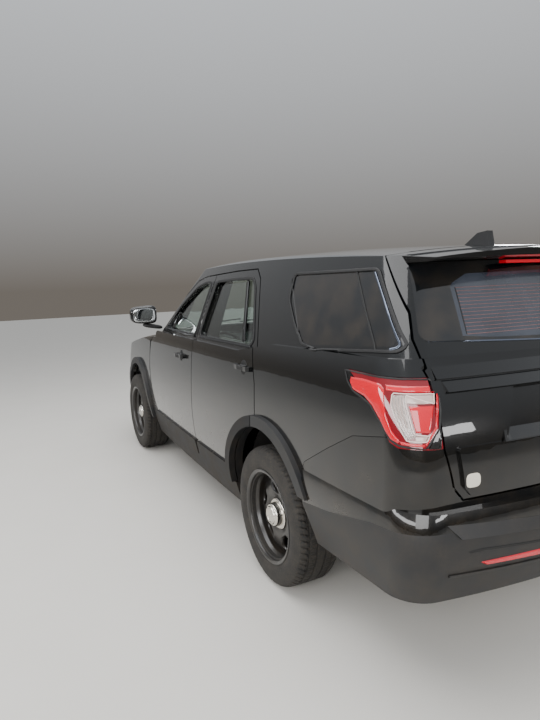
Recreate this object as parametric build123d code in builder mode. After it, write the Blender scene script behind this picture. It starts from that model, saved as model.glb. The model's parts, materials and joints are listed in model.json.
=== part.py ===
"""Three-row police sport utility vehicle, black and unmarked, on steel wheels.

Frame: +X forward, +Y to the vehicle's left, +Z up, origin on the ground at mid length.
All sizes are millimetres and degrees.
"""

import os
from functools import cache
from math import cos, radians, sin

from build123d import *

os.makedirs("parts", exist_ok=True)

# Driving dimensions of the whole vehicle
LENGTH = 5037
NOSE_X = LENGTH / 2
FRONT_AXLE_X, REAR_AXLE_X = 1563.5, -1296.5
WHEEL_Y = 851
TYRE_R, TYRE_W = 363.5, 245

# Wall build-up, each measured in from the outer surface
SKIN, JAMB, WALL = 10, 17, 62
PANEL, ROOF_T, SHELL_T, POST_T = 22, 28, 40, 56
HOOD_T, COWL_T, BUMPER_T = 26, 20, 24
GLASS_SET, GLASS_T, PANE_SET = 3, 6, 20
GAP = 8
DOOR_CLEAR = 8
FIT = 4
BOX_LAP, JAMB_LAP = 32, 10

# Heights and places
SILL_Z, DOOR_Z, BELT_Z = 270, 410, 1190
SILL_TOP, SILL_Y = DOOR_Z - GAP, 800
FIREWALL_X, FIREWALL_T = 1086, 14
ARCH_R, ARCH_Z = 442, 397
MOULD_R, MOULD_PROUD, MOULD_INNER_Y = 500, 26, 700
MOULD_FRONT_FOOT_Z, MOULD_DOOR_FOOT_Z, MOULD_REAR_FOOT_Z = 400, 330, 612
CLADDING_Z, CLADDING_PROUD = 508, 12
ROOF_SEAM_Y, ROOF_Z = 600, 1667
CENTRE_Y = 500
FRONT_WELL_Y, REAR_WELL_Y = 525, 640
OUT = -1300  # extruding a side view by this goes out to +Y
AHEAD, ASTERN = 2700, -2700  # extruding a rear view by these goes forward or back
UP = 1500  # extruding a plan view by this goes above the roof
FAR = 3000  # half-space boxes reach this far

# Door hinges stand just inside the skin, a little behind each door's front cut.
# Each has a round relief in the body, up to where the door's edge clears it: x, radius, top z
HINGES = [(985, 98, 1110), (-235, 91, 1236)]
HINGE_Y = 962
# Pillars that the doors hang on: x low, x high, inner y, top z
POSTS = [(960, FIREWALL_X + FIREWALL_T, SILL_Y, 1085), (-285, -95, 640, 1590)]
# Pull handles: x, y of the skin, z
HANDLES = {"front": (65, 950, 1070), "rear": (-1050, 940, 1118)}
HANDLE_L, HANDLE_H, HANDLE_OUT = 190, 25, 38

# Plan outlines of the lower body: height, half width, nose x, tail x
LOWER_LEVELS = [
    (270, 905, 2330, -2330),
    (520, 964, 2502, -2418),
    (760, 976, 2522, -2462),
    (1000, 962, 2455, -2452),
    (1200, 936, 2330, -2375),
    (1295, 905, 2255, -2334),
]
# Plan outlines of the cabin: height, half width, windscreen x, rear x, windscreen bow, rear bow
CABIN_LEVELS = [
    (1175, 924, 1126, -2378, 300, 84),
    (1600, 784, 392, -2178, 150, 90),
    (1790, 718, 64, -2083, 100, 100),
]
# Plan outlines of the rear bumper: height, half width, tail x
BUMPER_LEVELS = [
    (395, 930, -2430),
    (560, 974, -2506),
    (700, 981, -2522),
    (768, 962, -2508),
]
# Crown of hood and wing tops: station x, centre height, height at the wing line, wing line y
HOOD_STATIONS = [
    (2700, 840, 760, 700),
    (2380, 985, 930, 740),
    (1900, 1095, 1050, 790),
    (1400, 1165, 1115, 830),
    (850, 1215, 1165, 850),
]
# Crown of the roof: station x, centre height, fall to the roof edge
ROOF_STATIONS = [(1300, 1610, 40), (-700, 1742, 36), (-2500, 1655, 46)]

# Plan outline of a front lower arm, from its axle (x, y)
FRONT_ARM = [(200, 430), (30, 790), (-30, 790), (-200, 430), (-120, 430), (0, 640), (120, 430)]

# Side-view outlines (x, z); the belt line climbs behind the rear doors
BELT_LINE = [(2900, 1200), (-940, 1200), (-1330, 1264), (-2900, 1293), (-2900, 1900), (2900, 1900)]
FRONT_DOOR = [
    (1058, 960), (1040, 1085), (935, 1168), (800, 1215), (369, 1478), (120, 1597), (-60, 1624),
    (-239, 1630), (-165, BELT_Z), (-180, 800), (-215, DOOR_Z), (800, DOOR_Z), (900, 551), (993, 694),
    (1055, 887),
]
REAR_DOOR = [
    (-239 - GAP, 1630), (-600, 1642), (-895, 1644), (-960, 1590), (-1128, 1234), (-1192, 1050),
    (-1205, 900), (-1205, DOOR_Z), (-215 - GAP, DOOR_Z), (-180 - GAP, 800), (-165 - GAP, BELT_Z),
]
FRONT_WINDOW = [(620, 1238), (369, 1416), (105, 1545), (-50, 1574), (-178, 1578), (-118, 1238)]
REAR_WINDOW = [
    (-300, 1578), (-600, 1588), (-862, 1590), (-915, 1545), (-1062, 1262), (-1035, 1238), (-232, 1238),
]
QUARTER_WINDOW = [(-1300, 1600), (-1942, 1600), (-2198, 1322), (-1620, 1284), (-1530, 1300)]
GATE_SIDE = [
    (-1975, 1800), (-1975, 1655), (-2262, 1300), (-2270, 1190), (-2270, 700), (-2800, 700), (-2800, 1800),
]
BUMPER_EDGE = [
    (-1700, 250), (-1700, 740), (-1716, 778), (-1896, 885), (-2057, 974), (-2278, 1019), (-2700, 1019),
    (-2700, 250),
]
BUMPER_LOWER = [
    (-1700, 250), (-1700, 592), (-1900, 620), (-2199, 684), (-2447, 708), (-2700, 708), (-2700, 250),
]
TAIL_LAMP = [
    (-1993, 1222), (-2090, 1165), (-2170, 1125), (-2225, 1050), (-2265, 1000), (-2300, 985), (-2390, 985),
    (-2430, 1060), (-2430, 1216),
]
HEADLAMP = [(2040, 930), (2250, 985), (2560, 905), (2560, 815), (2330, 800), (2130, 850)]
FRONT_BUMPER = [(1985, 250), (1985, 640), (2070, 790), (2600, 790), (2600, 250)]
WING = [
    (1070, 270), (1070, 1095), (945, 1190), (900, 1260), (2560, 1260), (2560, 793), (2068, 793),
    (1982, 642), (1982, 270),
]
SPOILER_UNDER = [(-2010, 1500), (-2010, 1624), (-2190, 1624), (-2300, 1650), (-2400, 1650), (-2400, 1500)]
CABIN_FLOOR_Z, FLOOR_T, CARGO_Z = 345, 40, 700
KICK_X, CARGO_X, TAIL_FLOOR_X = -850, -1000, -2300
DASH = [
    (FIREWALL_X, 640), (FIREWALL_X, 1056), (1040, 1056), (1040, 1120), (880, 1120), (760, 1050),
    (740, 900), (800, 700), (900, 620),
]
SEAT = [
    (250, 345), (250, 520), (300, 560), (300, 600), (-120, 590), (-330, 1130), (-460, 1110), (-270, 520),
    (-230, 345),
]
BENCH = [
    (-360, 345), (-340, 610), (-700, 600), (-900, 1150), (-1010, 1130), (-860, 520), (-820, 345),
]
ANTENNA = [(-1700, 1712), (-1790, 1770), (-1850, 1776), (-1865, 1705)]

# Rear and front-view outlines of the +Y half (y, z)
GATE_HALF = [
    (0, 1800), (700, 1800), (745, 1655), (815, 1330), (790, 1215), (800, 980), (772, 845), (735, 800),
    (0, 800),
]
GATE_FRAME_HALF = [(0, 1640), (700, 1640), (784, 1345), (784, 1200), (0, 1200)]
GATE_SET, GATE_FRAME = 20, 30
REAR_GLASS_HALF = [(0, 1630), (690, 1624), (768, 1338), (0, 1305)]
REAR_CLEAR_HALF = [(0, 1590), (575, 1584), (612, 1345), (0, 1338)]
PLATE_RECESS_HALF = [(0, 1165), (450, 1165), (540, 985), (0, 985)]
GATE_SKIRT_HALF = [(0, 985), (756, 985), (752, 940), (742, 845), (715, 812), (0, 812)]
RECESS_DEPTH, SKIRT_PROUD = 26, 12
WINDSCREEN_HALF = [(0, 1662), (640, 1662), (815, 1205), (0, 1205)]
GRILLE_HALF = [(0, 935), (560, 925), (600, 840), (520, 640), (0, 620)]
GRILLE_BARS, GRILLE_PITCH, GRILLE_BAR, GRILLE_FRAME, GRILLE_Z = 6, 42, 15, 26, 782
INTAKE_HALF = [(0, 560), (470, 560), (560, 420), (0, 400)]
LAMP_INNER_HALF = [(0, 1200), (622, 1200), (622, 600), (0, 600)]
MIRROR_ARM = [(870, 1192), (870, 1240), (960, 1268), (1020, 1268), (1020, 1240), (960, 1212)]
# Plan outline of the hood's +Y half (x, y)
HOOD_HALF = [
    (2440, 0), (2405, 330), (2310, 620), (2150, 735), (1000, 812), (960, 780), (1080, 450), (1150, 0),
]

# Wheels: rim bead and flange, hub cap, knuckle
RIM_SEAT_R, RIM_EDGE_R, RIM_W = 228, 246, 108
HUB_FACE_Y = 94
KNUCKLE_Y = 772
# Half outline of rim barrel and disc (radius, outboard)
RIM = [
    (RIM_EDGE_R, -RIM_W - 6), (RIM_EDGE_R, -RIM_W), (RIM_SEAT_R, -RIM_W + 8), (RIM_SEAT_R, RIM_W - 8),
    (RIM_EDGE_R, RIM_W), (RIM_EDGE_R, RIM_W + 6), (RIM_SEAT_R - 6, RIM_W + 6), (RIM_SEAT_R - 12, 60),
    (188, 40), (150, 52), (120, 50), (84, 38), (0, 38), (0, 30), (84, 30), (120, 42), (150, 44),
    (188, 28), (RIM_SEAT_R - 12, 20), (RIM_SEAT_R - 12, -RIM_W + 4), (RIM_SEAT_R - 4, -RIM_W - 6),
]
HUB_CAP = [(0, 30), (82, 30), (82, 50), (62, 56), (57, 88), (45, HUB_FACE_Y), (0, HUB_FACE_Y)]
# Corners: name, axle x, side
WHEELS = [
    ("front_left", FRONT_AXLE_X, 1), ("front_right", FRONT_AXLE_X, -1),
    ("rear_left", REAR_AXLE_X, 1), ("rear_right", REAR_AXLE_X, -1),
]

# Steering column: tilt and the steering wheel's middle
COLUMN_TILT = 25
WHEEL_HUB = (620, 380, 985)
COLUMN_AXIS = (-cos(radians(COLUMN_TILT)), 0, sin(radians(COLUMN_TILT)))


def plan_outline(z, half, nose, tail, nose_bow, tail_bow, nose_tuck, tail_tuck, nose_r, tail_r):
    """A closed plan outline: four shallow arcs with rounded corners."""
    front = (nose - nose_bow, half - nose_tuck)
    rear = (tail + tail_bow, half - tail_tuck)
    mid_x = (front[0] + rear[0]) / 2
    with BuildSketch(Plane.XY.offset(z)) as outline:
        with BuildLine():
            ThreePointArc(front, (mid_x, half), rear)
            ThreePointArc(rear, (tail, 0), (rear[0], -rear[1]))
            ThreePointArc((rear[0], -rear[1]), (mid_x, -half), (front[0], -front[1]))
            ThreePointArc((front[0], -front[1]), (nose, 0), front)
        make_face()
        fillet(outline.vertices().sort_by(Axis.X)[:2], tail_r)
        fillet(outline.vertices().sort_by(Axis.X)[-2:], nose_r)
    return outline.sketch


def outline(plane, points, radius=0, grow=0):
    """A closed outline on a plane, corners rounded, then grown or shrunk."""
    with BuildSketch(plane) as shape:
        with BuildLine():
            Polyline(*points, close=True)
        make_face()
        if radius:
            fillet(shape.vertices(), radius)
        if grow:
            offset(amount=grow, kind=Kind.INTERSECTION)
    return shape.sketch


def side_view(points, radius=0, grow=0):
    """An outline seen from the side."""
    return outline(Plane.XZ, points, radius, grow)


def front_view(half, radius=0, grow=0):
    """A symmetric outline looking along the vehicle."""
    return outline(Plane.YZ, half + [(-y, z) for y, z in reversed(half) if y], radius, grow)


def plan_view(half, radius=0, grow=0):
    """A symmetric outline looking down."""
    return outline(Plane.XY, half + [(x, -y) for x, y in reversed(half) if y], radius, grow)


def rear_door_view(grow=0):
    """The rear door's outline, bitten by the wheel arch."""
    with BuildSketch(Plane.XZ) as shape:
        add(side_view(REAR_DOOR, grow=grow))
        with Locations((REAR_AXLE_X, ARCH_Z)):
            Circle(ARCH_R - grow, mode=Mode.SUBTRACT)
    return shape.sketch


@cache
def hood_block(drop):
    """Everything under the crowned surface that hood and wing tops share."""
    with BuildPart() as block:
        for x, crown, wing, wing_y in HOOD_STATIONS:
            top, shoulder, foot = wing - drop, wing - drop - 45, wing - drop - 260
            with BuildSketch(Plane.YZ.offset(x)):
                with BuildLine():
                    ThreePointArc((wing_y, top), (0, crown - drop), (-wing_y, top))
                    left = ThreePointArc((wing_y, top), (wing_y + 130, shoulder), (wing_y + 300, foot))
                    right = ThreePointArc((-wing_y, top), (-wing_y - 130, shoulder), (-wing_y - 300, foot))
                    Polyline(left @ 1, (wing_y + 300, 0), (-wing_y - 300, 0), right @ 1)
                make_face()
        loft()
    return block.part


@cache
def lower_form(inset, drop=None):
    """The body below the belt, every wall moved in by the inset, the hood dropped."""
    with BuildPart() as form:
        for z, half, nose, tail in LOWER_LEVELS:
            add(
                plan_outline(
                    z, half - inset, nose - inset, tail + inset, 330, 86, 82, 26, 330 - inset, 160 - inset
                )
            )
        loft()
        extrude(side_view(BELT_LINE), amount=1400, both=True, mode=Mode.SUBTRACT)
    with BuildPart() as front:
        add(form.part)
        split(bisect_by=Plane.YZ.offset(880))
        add(hood_block(inset if drop is None else drop), mode=Mode.INTERSECT)
    with BuildPart() as whole:
        add(form.part)
        split(bisect_by=Plane.YZ.offset(880), keep=Keep.BOTTOM)
        add(front.part)
    return whole.part


@cache
def roof_block(inset):
    """Everything under the crowned roof surface."""
    with BuildPart() as roof:
        for x, crown, fall in ROOF_STATIONS:
            top, edge, brim = crown - inset, crown - fall - inset, crown - fall - inset - 160
            with BuildSketch(Plane.YZ.offset(x)):
                with BuildLine():
                    ThreePointArc((730, edge), (0, top), (-730, edge))
                    Polyline((-730, edge), (-1000, brim), (-1000, 900), (1000, 900), (1000, brim))
                    Line((1000, brim), (730, edge))
                make_face()
        loft()
    return roof.part


@cache
def cabin_form(inset):
    """The glazed upper body under its crowned roof, moved in by the inset."""
    nose_r, tail_r = max(110 - inset, 10), max(120 - inset, 10)
    with BuildPart() as form:
        for z, half, nose, tail, nose_bow, tail_bow in CABIN_LEVELS:
            ends = (nose - 1.9 * inset, tail + inset)
            add(plan_outline(z, half - inset, *ends, nose_bow, tail_bow, 24, 36, nose_r, tail_r))
        loft()
        add(roof_block(inset), mode=Mode.INTERSECT)
    return form.part


@cache
def body_form(inset):
    """The whole outer body, moved in by the inset."""
    with BuildPart() as form:
        add(lower_form(inset))
        add(cabin_form(inset))
    return form.part


def bumper_form(inset, top_inset=0):
    """The rear bumper's block, its top lowered by its own inset."""
    with BuildPart() as form:
        for z, half, tail in BUMPER_LEVELS:
            level = z - (top_inset if z == BUMPER_LEVELS[-1][0] else 0)
            add(plan_outline(level, half - inset, 2400, tail + inset, 330, 105, 82, 22, 200, 150 - inset))
        loft()
    return form.part


def left_of(form):
    """The part of a form well to the left of the middle."""
    with BuildPart() as half:
        add(form)
        split(bisect_by=Plane.XZ.offset(-CENTRE_Y), keep=Keep.BOTTOM)
    return half.part


def layer(outer, inner):
    """The shell between two forms."""
    with BuildPart() as shell:
        add(outer)
        add(inner, mode=Mode.SUBTRACT)
    return shell.part


def gate_space(clearance):
    """The space of the tailgate's skin and of its deeper window frame, grown by a clearance."""
    with BuildPart() as zone:
        extrude(side_view(GATE_SIDE), amount=1200, both=True)
    with BuildPart() as frame:
        extrude(front_view(GATE_FRAME_HALF, grow=clearance), amount=ASTERN)
        with Locations((clearance + GATE_FRAME, 0, 0)):
            add(zone.part, mode=Mode.INTERSECT)
    with BuildPart() as space:
        extrude(front_view(GATE_HALF, grow=clearance), amount=ASTERN)
        with Locations((clearance - GATE_SET, 0, 0)):
            add(zone.part, mode=Mode.INTERSECT)
        add(frame.part)
    return space.part


def arch_cut(x, inner_y):
    """A left wheel arch: a cylinder and the open space below it."""
    with BuildPart() as cut:
        with BuildSketch(Plane.XZ.offset(-inner_y)):
            with Locations((x, ARCH_Z)):
                Circle(ARCH_R)
                Rectangle(2 * ARCH_R, ARCH_Z + 50, align=(Align.CENTER, Align.MAX))
        extrude(amount=OUT)
    return cut.part


def arch_ring(axle_x, foot_z):
    """The moulding round a left arch, down to its foot."""
    with BuildPart() as ring:
        with BuildSketch(Plane.XZ.offset(-MOULD_INNER_Y)):
            with Locations((axle_x, ARCH_Z)):
                Circle(MOULD_R)
                Circle(ARCH_R, mode=Mode.SUBTRACT)
            with Locations((axle_x, foot_z)):
                Rectangle(2 * FAR, FAR, align=(Align.CENTER, Align.MAX), mode=Mode.SUBTRACT)
        extrude(amount=OUT)
        add(MOULD_LAYER, mode=Mode.INTERSECT)
    return ring.part


def below(z):
    """Everything below a height."""
    with BuildPart() as block:
        with Locations((0, 0, z)):
            Box(2 * FAR, 2 * FAR, FAR, align=(Align.CENTER, Align.CENTER, Align.MAX))
    return block.part


def above(z):
    """Everything above a height."""
    with BuildPart() as block:
        with Locations((0, 0, z)):
            Box(2 * FAR, 2 * FAR, FAR, align=(Align.CENTER, Align.CENTER, Align.MIN))
    return block.part


def pull_handle(x, skin_y, z):
    """A bowed bar on two feet, outside a left door's skin."""
    half, face, bar = HANDLE_L / 2, skin_y + HANDLE_OUT, 15
    with BuildPart() as handle:
        with BuildSketch(Plane.XY.offset(z - HANDLE_H / 2)):
            with BuildLine():
                Polyline(
                    (x + half, skin_y - 15), (x + half, face - 14), (x + half - 20, face - 2), (x, face),
                    (x - half + 20, face - 2), (x - half, face - 14), (x - half, skin_y - 15),
                    (x - half + 22, skin_y - 15), (x - half + 32, face - bar), (x + half - 32, face - bar),
                    (x + half - 22, skin_y - 15), close=True,
                )
            make_face()
        extrude(amount=HANDLE_H)
    return handle.part


GATE_SPACE, GATE_CUT = gate_space(0), gate_space(GAP)
OUTER, INNER = body_form(0), body_form(WALL)
LEFT, LEFT_INNER = left_of(OUTER), left_of(INNER)
LEFT_UNDER_SKIN = left_of(body_form(SKIN))
LEFT_UNDER_JAMB = left_of(body_form(JAMB))
LOWER, LOWER_PANEL, LOWER_SHELL = lower_form(0), lower_form(PANEL), lower_form(SHELL_T)
LOWER_RECESS, LOWER_PROUD = lower_form(RECESS_DEPTH), lower_form(-CLADDING_PROUD)
GLASS_OUTER, GLASS_INNER = cabin_form(GLASS_SET), cabin_form(GLASS_SET + GLASS_T)
LEFT_PANE = layer(left_of(cabin_form(PANE_SET)), cabin_form(PANE_SET + GLASS_T))
LEFT_CLADDING = layer(left_of(LOWER_PROUD), LOWER)
MOULD_LAYER = layer(lower_form(-MOULD_PROUD), LOWER)
FRONT_ARCH, REAR_ARCH = arch_cut(FRONT_AXLE_X, FRONT_WELL_Y), arch_cut(REAR_AXLE_X, REAR_WELL_Y)
REAR_RING = arch_ring(REAR_AXLE_X, MOULD_DOOR_FOOT_Z)

# Doors: a thin flanged skin over a smaller inner box, with the window cut.
# Outline, inner box, window, where the low cladding starts: the rear one clears the front door's edge
DOORS = {
    "front": (
        side_view(FRONT_DOOR), side_view(FRONT_DOOR, grow=-BOX_LAP), side_view(FRONT_WINDOW, 20), FIREWALL_X,
    ),
    "rear": (rear_door_view(), rear_door_view(-BOX_LAP), side_view(REAR_WINDOW, 20), -246),
}
left_pieces = {}
for place, (edge, box, window, cladding_x) in DOORS.items():
    with BuildPart() as inner_box:
        extrude(box, amount=OUT)
        extrude(window, amount=OUT, mode=Mode.SUBTRACT)
        add(LEFT, mode=Mode.INTERSECT)
        with Locations((0, DOOR_CLEAR, 0)):
            add(INNER, mode=Mode.SUBTRACT)
    with BuildPart() as cladding:
        extrude(edge, amount=OUT)
        with Locations((cladding_x, 0, CLADDING_Z)):
            Box(FAR, 2 * FAR, FAR, align=(Align.MAX, Align.CENTER, Align.MAX), mode=Mode.INTERSECT)
        add(LEFT_CLADDING, mode=Mode.INTERSECT)
    with BuildPart() as door:
        extrude(edge, amount=OUT)
        extrude(window, amount=OUT, mode=Mode.SUBTRACT)
        add(LEFT, mode=Mode.INTERSECT)
        add(LEFT_UNDER_SKIN, mode=Mode.SUBTRACT)
        add(inner_box.part)
        with Locations((860, 0, 1090)):
            Box(500, 2 * 865, 200, align=(Align.CENTER, Align.CENTER, Align.MIN), mode=Mode.SUBTRACT)
        add(cladding.part)
        add(pull_handle(*HANDLES[place]))
    left_pieces[f"door_{place}"] = door.part
    with BuildPart() as pane:
        extrude(window, amount=OUT)
        add(LEFT_PANE, mode=Mode.INTERSECT)
    left_pieces[f"door_glass_{place}"] = pane.part

# The rear door carries the front quarter of the rear arch's moulding
with BuildPart() as quadrant:
    extrude(rear_door_view(), amount=OUT)
    add(REAR_RING, mode=Mode.INTERSECT)
with BuildPart() as rear_door:
    add(left_pieces["door_rear"])
    add(quadrant.part)
left_pieces["door_rear"] = rear_door.part

# Body side: one ring from the windscreen pillar to the tail, with its posts and sill
with BuildPart() as rebates:
    extrude(side_view(FRONT_DOOR, grow=GAP), amount=OUT)
    extrude(rear_door_view(GAP), amount=OUT)
    add(LEFT_UNDER_JAMB, mode=Mode.SUBTRACT)
with BuildPart() as hinge_reliefs:
    for hinge_x, relief, top_z in HINGES:
        with Locations((hinge_x, HINGE_Y, SILL_TOP)):
            Cylinder(relief, top_z - SILL_TOP, align=(Align.CENTER, Align.CENTER, Align.MIN))
with BuildPart() as posts:
    for x_low, x_high, inner_y, top_z in POSTS:
        with Locations((x_low, inner_y, CABIN_FLOOR_Z)):
            Box(x_high - x_low, 400, top_z - CABIN_FLOOR_Z, align=(Align.MIN, Align.MIN, Align.MIN))
    add(INNER, mode=Mode.INTERSECT)
    with Locations((0, -POST_T, 0)):
        add(LEFT_INNER, mode=Mode.SUBTRACT)
    add(hinge_reliefs.part, mode=Mode.SUBTRACT)
with BuildPart() as sill:
    with Locations((105, SILL_Y, SILL_Z)):
        Box(1910, 300, SILL_TOP - SILL_Z, align=(Align.CENTER, Align.MIN, Align.MIN))
    add(LEFT, mode=Mode.INTERSECT)
with BuildPart() as side_wall:
    with Locations((-720, ROOF_SEAM_Y, 0)):
        Box(3660, 900, 2500, align=(Align.CENTER, Align.MIN, Align.MIN))
    add(LEFT, mode=Mode.INTERSECT)
    add(LEFT_INNER, mode=Mode.SUBTRACT)
    add(rebates.part, mode=Mode.SUBTRACT)
    extrude(side_view(FRONT_DOOR, grow=-JAMB_LAP), amount=OUT, mode=Mode.SUBTRACT)
    extrude(rear_door_view(-JAMB_LAP), amount=OUT, mode=Mode.SUBTRACT)
    extrude(front_view(WINDSCREEN_HALF, grow=FIT), amount=AHEAD, mode=Mode.SUBTRACT)
    add(GATE_CUT, mode=Mode.SUBTRACT)
    extrude(side_view(QUARTER_WINDOW, 24), amount=OUT, mode=Mode.SUBTRACT)
    extrude(side_view(BUMPER_EDGE, grow=FIT / 2), amount=OUT, mode=Mode.SUBTRACT)
    extrude(side_view(TAIL_LAMP, grow=FIT / 2), amount=OUT, mode=Mode.SUBTRACT)
    extrude(side_view(WING, grow=FIT), amount=OUT, mode=Mode.SUBTRACT)
    with Locations((1000, 0, 1090)):
        Box(400, 2 * 865, 115, align=(Align.CENTER, Align.CENTER, Align.MIN), mode=Mode.SUBTRACT)
    add(REAR_ARCH, mode=Mode.SUBTRACT)
    add(FRONT_ARCH, mode=Mode.SUBTRACT)
    add(hinge_reliefs.part, mode=Mode.SUBTRACT)
    add(posts.part)
    add(sill.part)
left_pieces["body_side"] = side_wall.part

# Glass, lamps, wings and mouldings on the left
with BuildPart() as quarter_window:
    extrude(side_view(QUARTER_WINDOW, 24), amount=OUT)
    add(GLASS_OUTER, mode=Mode.INTERSECT)
    add(GLASS_INNER, mode=Mode.SUBTRACT)
    add(GATE_CUT, mode=Mode.SUBTRACT)
left_pieces["quarter_window"] = quarter_window.part
with BuildPart() as tail_lamp:
    extrude(side_view(TAIL_LAMP), amount=OUT)
    add(GATE_CUT, mode=Mode.SUBTRACT)
    add(LOWER, mode=Mode.INTERSECT)
    add(LOWER_SHELL, mode=Mode.SUBTRACT)
left_pieces["tail_lamp"] = tail_lamp.part
with BuildPart() as headlamp:
    extrude(side_view(HEADLAMP), amount=OUT)
    extrude(front_view(LAMP_INNER_HALF), amount=AHEAD, mode=Mode.SUBTRACT)
    extrude(plan_view(HOOD_HALF, grow=GAP), amount=UP, mode=Mode.SUBTRACT)
    add(LOWER, mode=Mode.INTERSECT)
    add(LOWER_SHELL, mode=Mode.SUBTRACT)
left_pieces["headlamp"] = headlamp.part
with BuildPart() as wing:
    extrude(side_view(WING), amount=OUT)
    add(LOWER, mode=Mode.INTERSECT)
    add(LOWER_PANEL, mode=Mode.SUBTRACT)
    extrude(plan_view(HOOD_HALF, grow=GAP), amount=UP, mode=Mode.SUBTRACT)
    extrude(front_view(GRILLE_HALF, grow=FIT), amount=AHEAD, mode=Mode.SUBTRACT)
    extrude(side_view(HEADLAMP, grow=FIT / 2), amount=OUT, mode=Mode.SUBTRACT)
    add(FRONT_ARCH, mode=Mode.SUBTRACT)
left_pieces["wing"] = wing.part
with BuildPart() as rear_moulding:
    add(REAR_RING)
    extrude(rear_door_view(GAP), amount=OUT, mode=Mode.SUBTRACT)
    with Locations((REAR_AXLE_X, 0, MOULD_REAR_FOOT_Z)):
        Box(1200, 2 * FAR, 600, align=(Align.MAX, Align.CENTER, Align.MAX), mode=Mode.SUBTRACT)
left_pieces["rear_arch_moulding"] = rear_moulding.part
left_pieces["front_arch_moulding"] = arch_ring(FRONT_AXLE_X, MOULD_FRONT_FOOT_Z)

PAIRS = {
    "quarter_window": "quarter_windows",
    "tail_lamp": "tail_lamps",
    "headlamp": "headlamps",
    "wing": "front_wings",
    "front_arch_moulding": "front_arch_mouldings",
    "rear_arch_moulding": "rear_arch_mouldings",
}
for name, cut_piece in left_pieces.items():
    piece = cut_piece.solids().sort_by(SortBy.VOLUME)[-1]
    with BuildPart() as left:
        add(piece)
    with BuildPart() as right:
        mirror(piece, about=Plane.XZ)
    if name in PAIRS:
        with BuildPart() as pair:
            add(left.part)
            add(right.part)
        pair.part.label = PAIRS[name]
        export_step(pair.part, f"parts/{PAIRS[name]}.step")
    else:
        left.part.label, right.part.label = f"{name}_left", f"{name}_right"
        export_step(left.part, f"parts/{name}_left.step")
        export_step(right.part, f"parts/{name}_right.step")

# Roof panel between the two seams
with BuildPart() as roof_panel:
    with Locations((-720, 0, ROOF_Z)):
        Box(2500, 2 * ROOF_SEAM_Y, 400, align=(Align.CENTER, Align.CENTER, Align.MIN))
    add(cabin_form(0), mode=Mode.INTERSECT)
    add(cabin_form(ROOF_T), mode=Mode.SUBTRACT)
roof_panel.part.label = "roof_panel"
export_step(roof_panel.part, "parts/roof_panel.step")

with BuildPart() as windshield:
    extrude(front_view(WINDSCREEN_HALF), amount=AHEAD)
    add(GLASS_OUTER, mode=Mode.INTERSECT)
    add(GLASS_INNER, mode=Mode.SUBTRACT)
windshield.part.label = "windshield"
export_step(windshield.part, "parts/windshield.step")

with BuildPart() as hood:
    extrude(plan_view(HOOD_HALF), amount=UP)
    add(above(936), mode=Mode.INTERSECT)
    add(LOWER, mode=Mode.INTERSECT)
    add(lower_form(0, HOOD_T), mode=Mode.SUBTRACT)
hood.part.label = "hood"
export_step(hood.part, "parts/hood.step")

with BuildPart() as cowl:
    with BuildSketch(Plane.XY.offset(1100)):
        with Locations((910, 0)):
            Rectangle(400, 2 * 760, align=(Align.MIN, Align.CENTER))
        add(plan_view(HOOD_HALF, grow=GAP), mode=Mode.SUBTRACT)
    extrude(amount=102)
    add(LOWER, mode=Mode.INTERSECT)
    add(lower_form(0, COWL_T), mode=Mode.SUBTRACT)
cowl.part.label = "cowl"
export_step(cowl.part, "parts/cowl.step")

# Tailgate: plate recess, proud skirt below it, and the spoiler over the glass
with BuildPart() as recess:
    extrude(front_view(PLATE_RECESS_HALF, 14), amount=ASTERN)
    add(LOWER_RECESS, mode=Mode.SUBTRACT)
with BuildPart() as skirt:
    extrude(front_view(GATE_SKIRT_HALF, 12), amount=ASTERN)
    add(GATE_SPACE, mode=Mode.INTERSECT)
    add(LOWER_PROUD, mode=Mode.INTERSECT)
    add(LOWER_RECESS, mode=Mode.SUBTRACT)
with BuildPart() as spoiler:
    with BuildSketch(Plane.XY.offset(1600)):
        with BuildLine():
            ThreePointArc((-2225, 690), (-2268, 0), (-2225, -690))
            Polyline((-2225, -690), (-2032, -700), (-2032, 700), (-2225, 690))
        make_face()
    extrude(amount=120)
    add(roof_block(FIT), mode=Mode.INTERSECT)
    extrude(side_view(SPOILER_UNDER), amount=900, both=True, mode=Mode.SUBTRACT)
    add(cabin_form(ROOF_T), mode=Mode.SUBTRACT)
with BuildPart() as glass_rebate:
    extrude(front_view(REAR_GLASS_HALF, 30, grow=2), amount=ASTERN)
    add(GLASS_INNER, mode=Mode.SUBTRACT)
with BuildPart() as liftgate:
    add(GATE_SPACE)
    add(OUTER, mode=Mode.INTERSECT)
    add(INNER, mode=Mode.SUBTRACT)
    extrude(front_view(REAR_CLEAR_HALF, 40), amount=ASTERN, mode=Mode.SUBTRACT)
    add(recess.part, mode=Mode.SUBTRACT)
    add(skirt.part)
    add(spoiler.part)
    add(glass_rebate.part, mode=Mode.SUBTRACT)
liftgate.part.label = "liftgate"
export_step(liftgate.part, "parts/liftgate.step")
with BuildPart() as liftgate_glass:
    extrude(front_view(REAR_GLASS_HALF, 30), amount=ASTERN)
    add(GLASS_OUTER, mode=Mode.INTERSECT)
    add(GLASS_INNER, mode=Mode.SUBTRACT)
    add(GATE_SPACE, mode=Mode.INTERSECT)
liftgate_glass.part.label = "liftgate_glass"
export_step(liftgate_glass.part, "parts/liftgate_glass.step")
with BuildPart() as brake_lamp:
    with Locations((-2200, 0, 1618)):
        Box(34, 640, 12)
    add(liftgate.part, mode=Mode.SUBTRACT)
    add(liftgate_glass.part, mode=Mode.SUBTRACT)
brake_lamp.part.label = "high_brake_lamp"
export_step(brake_lamp.part, "parts/high_brake_lamp.step")

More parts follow.
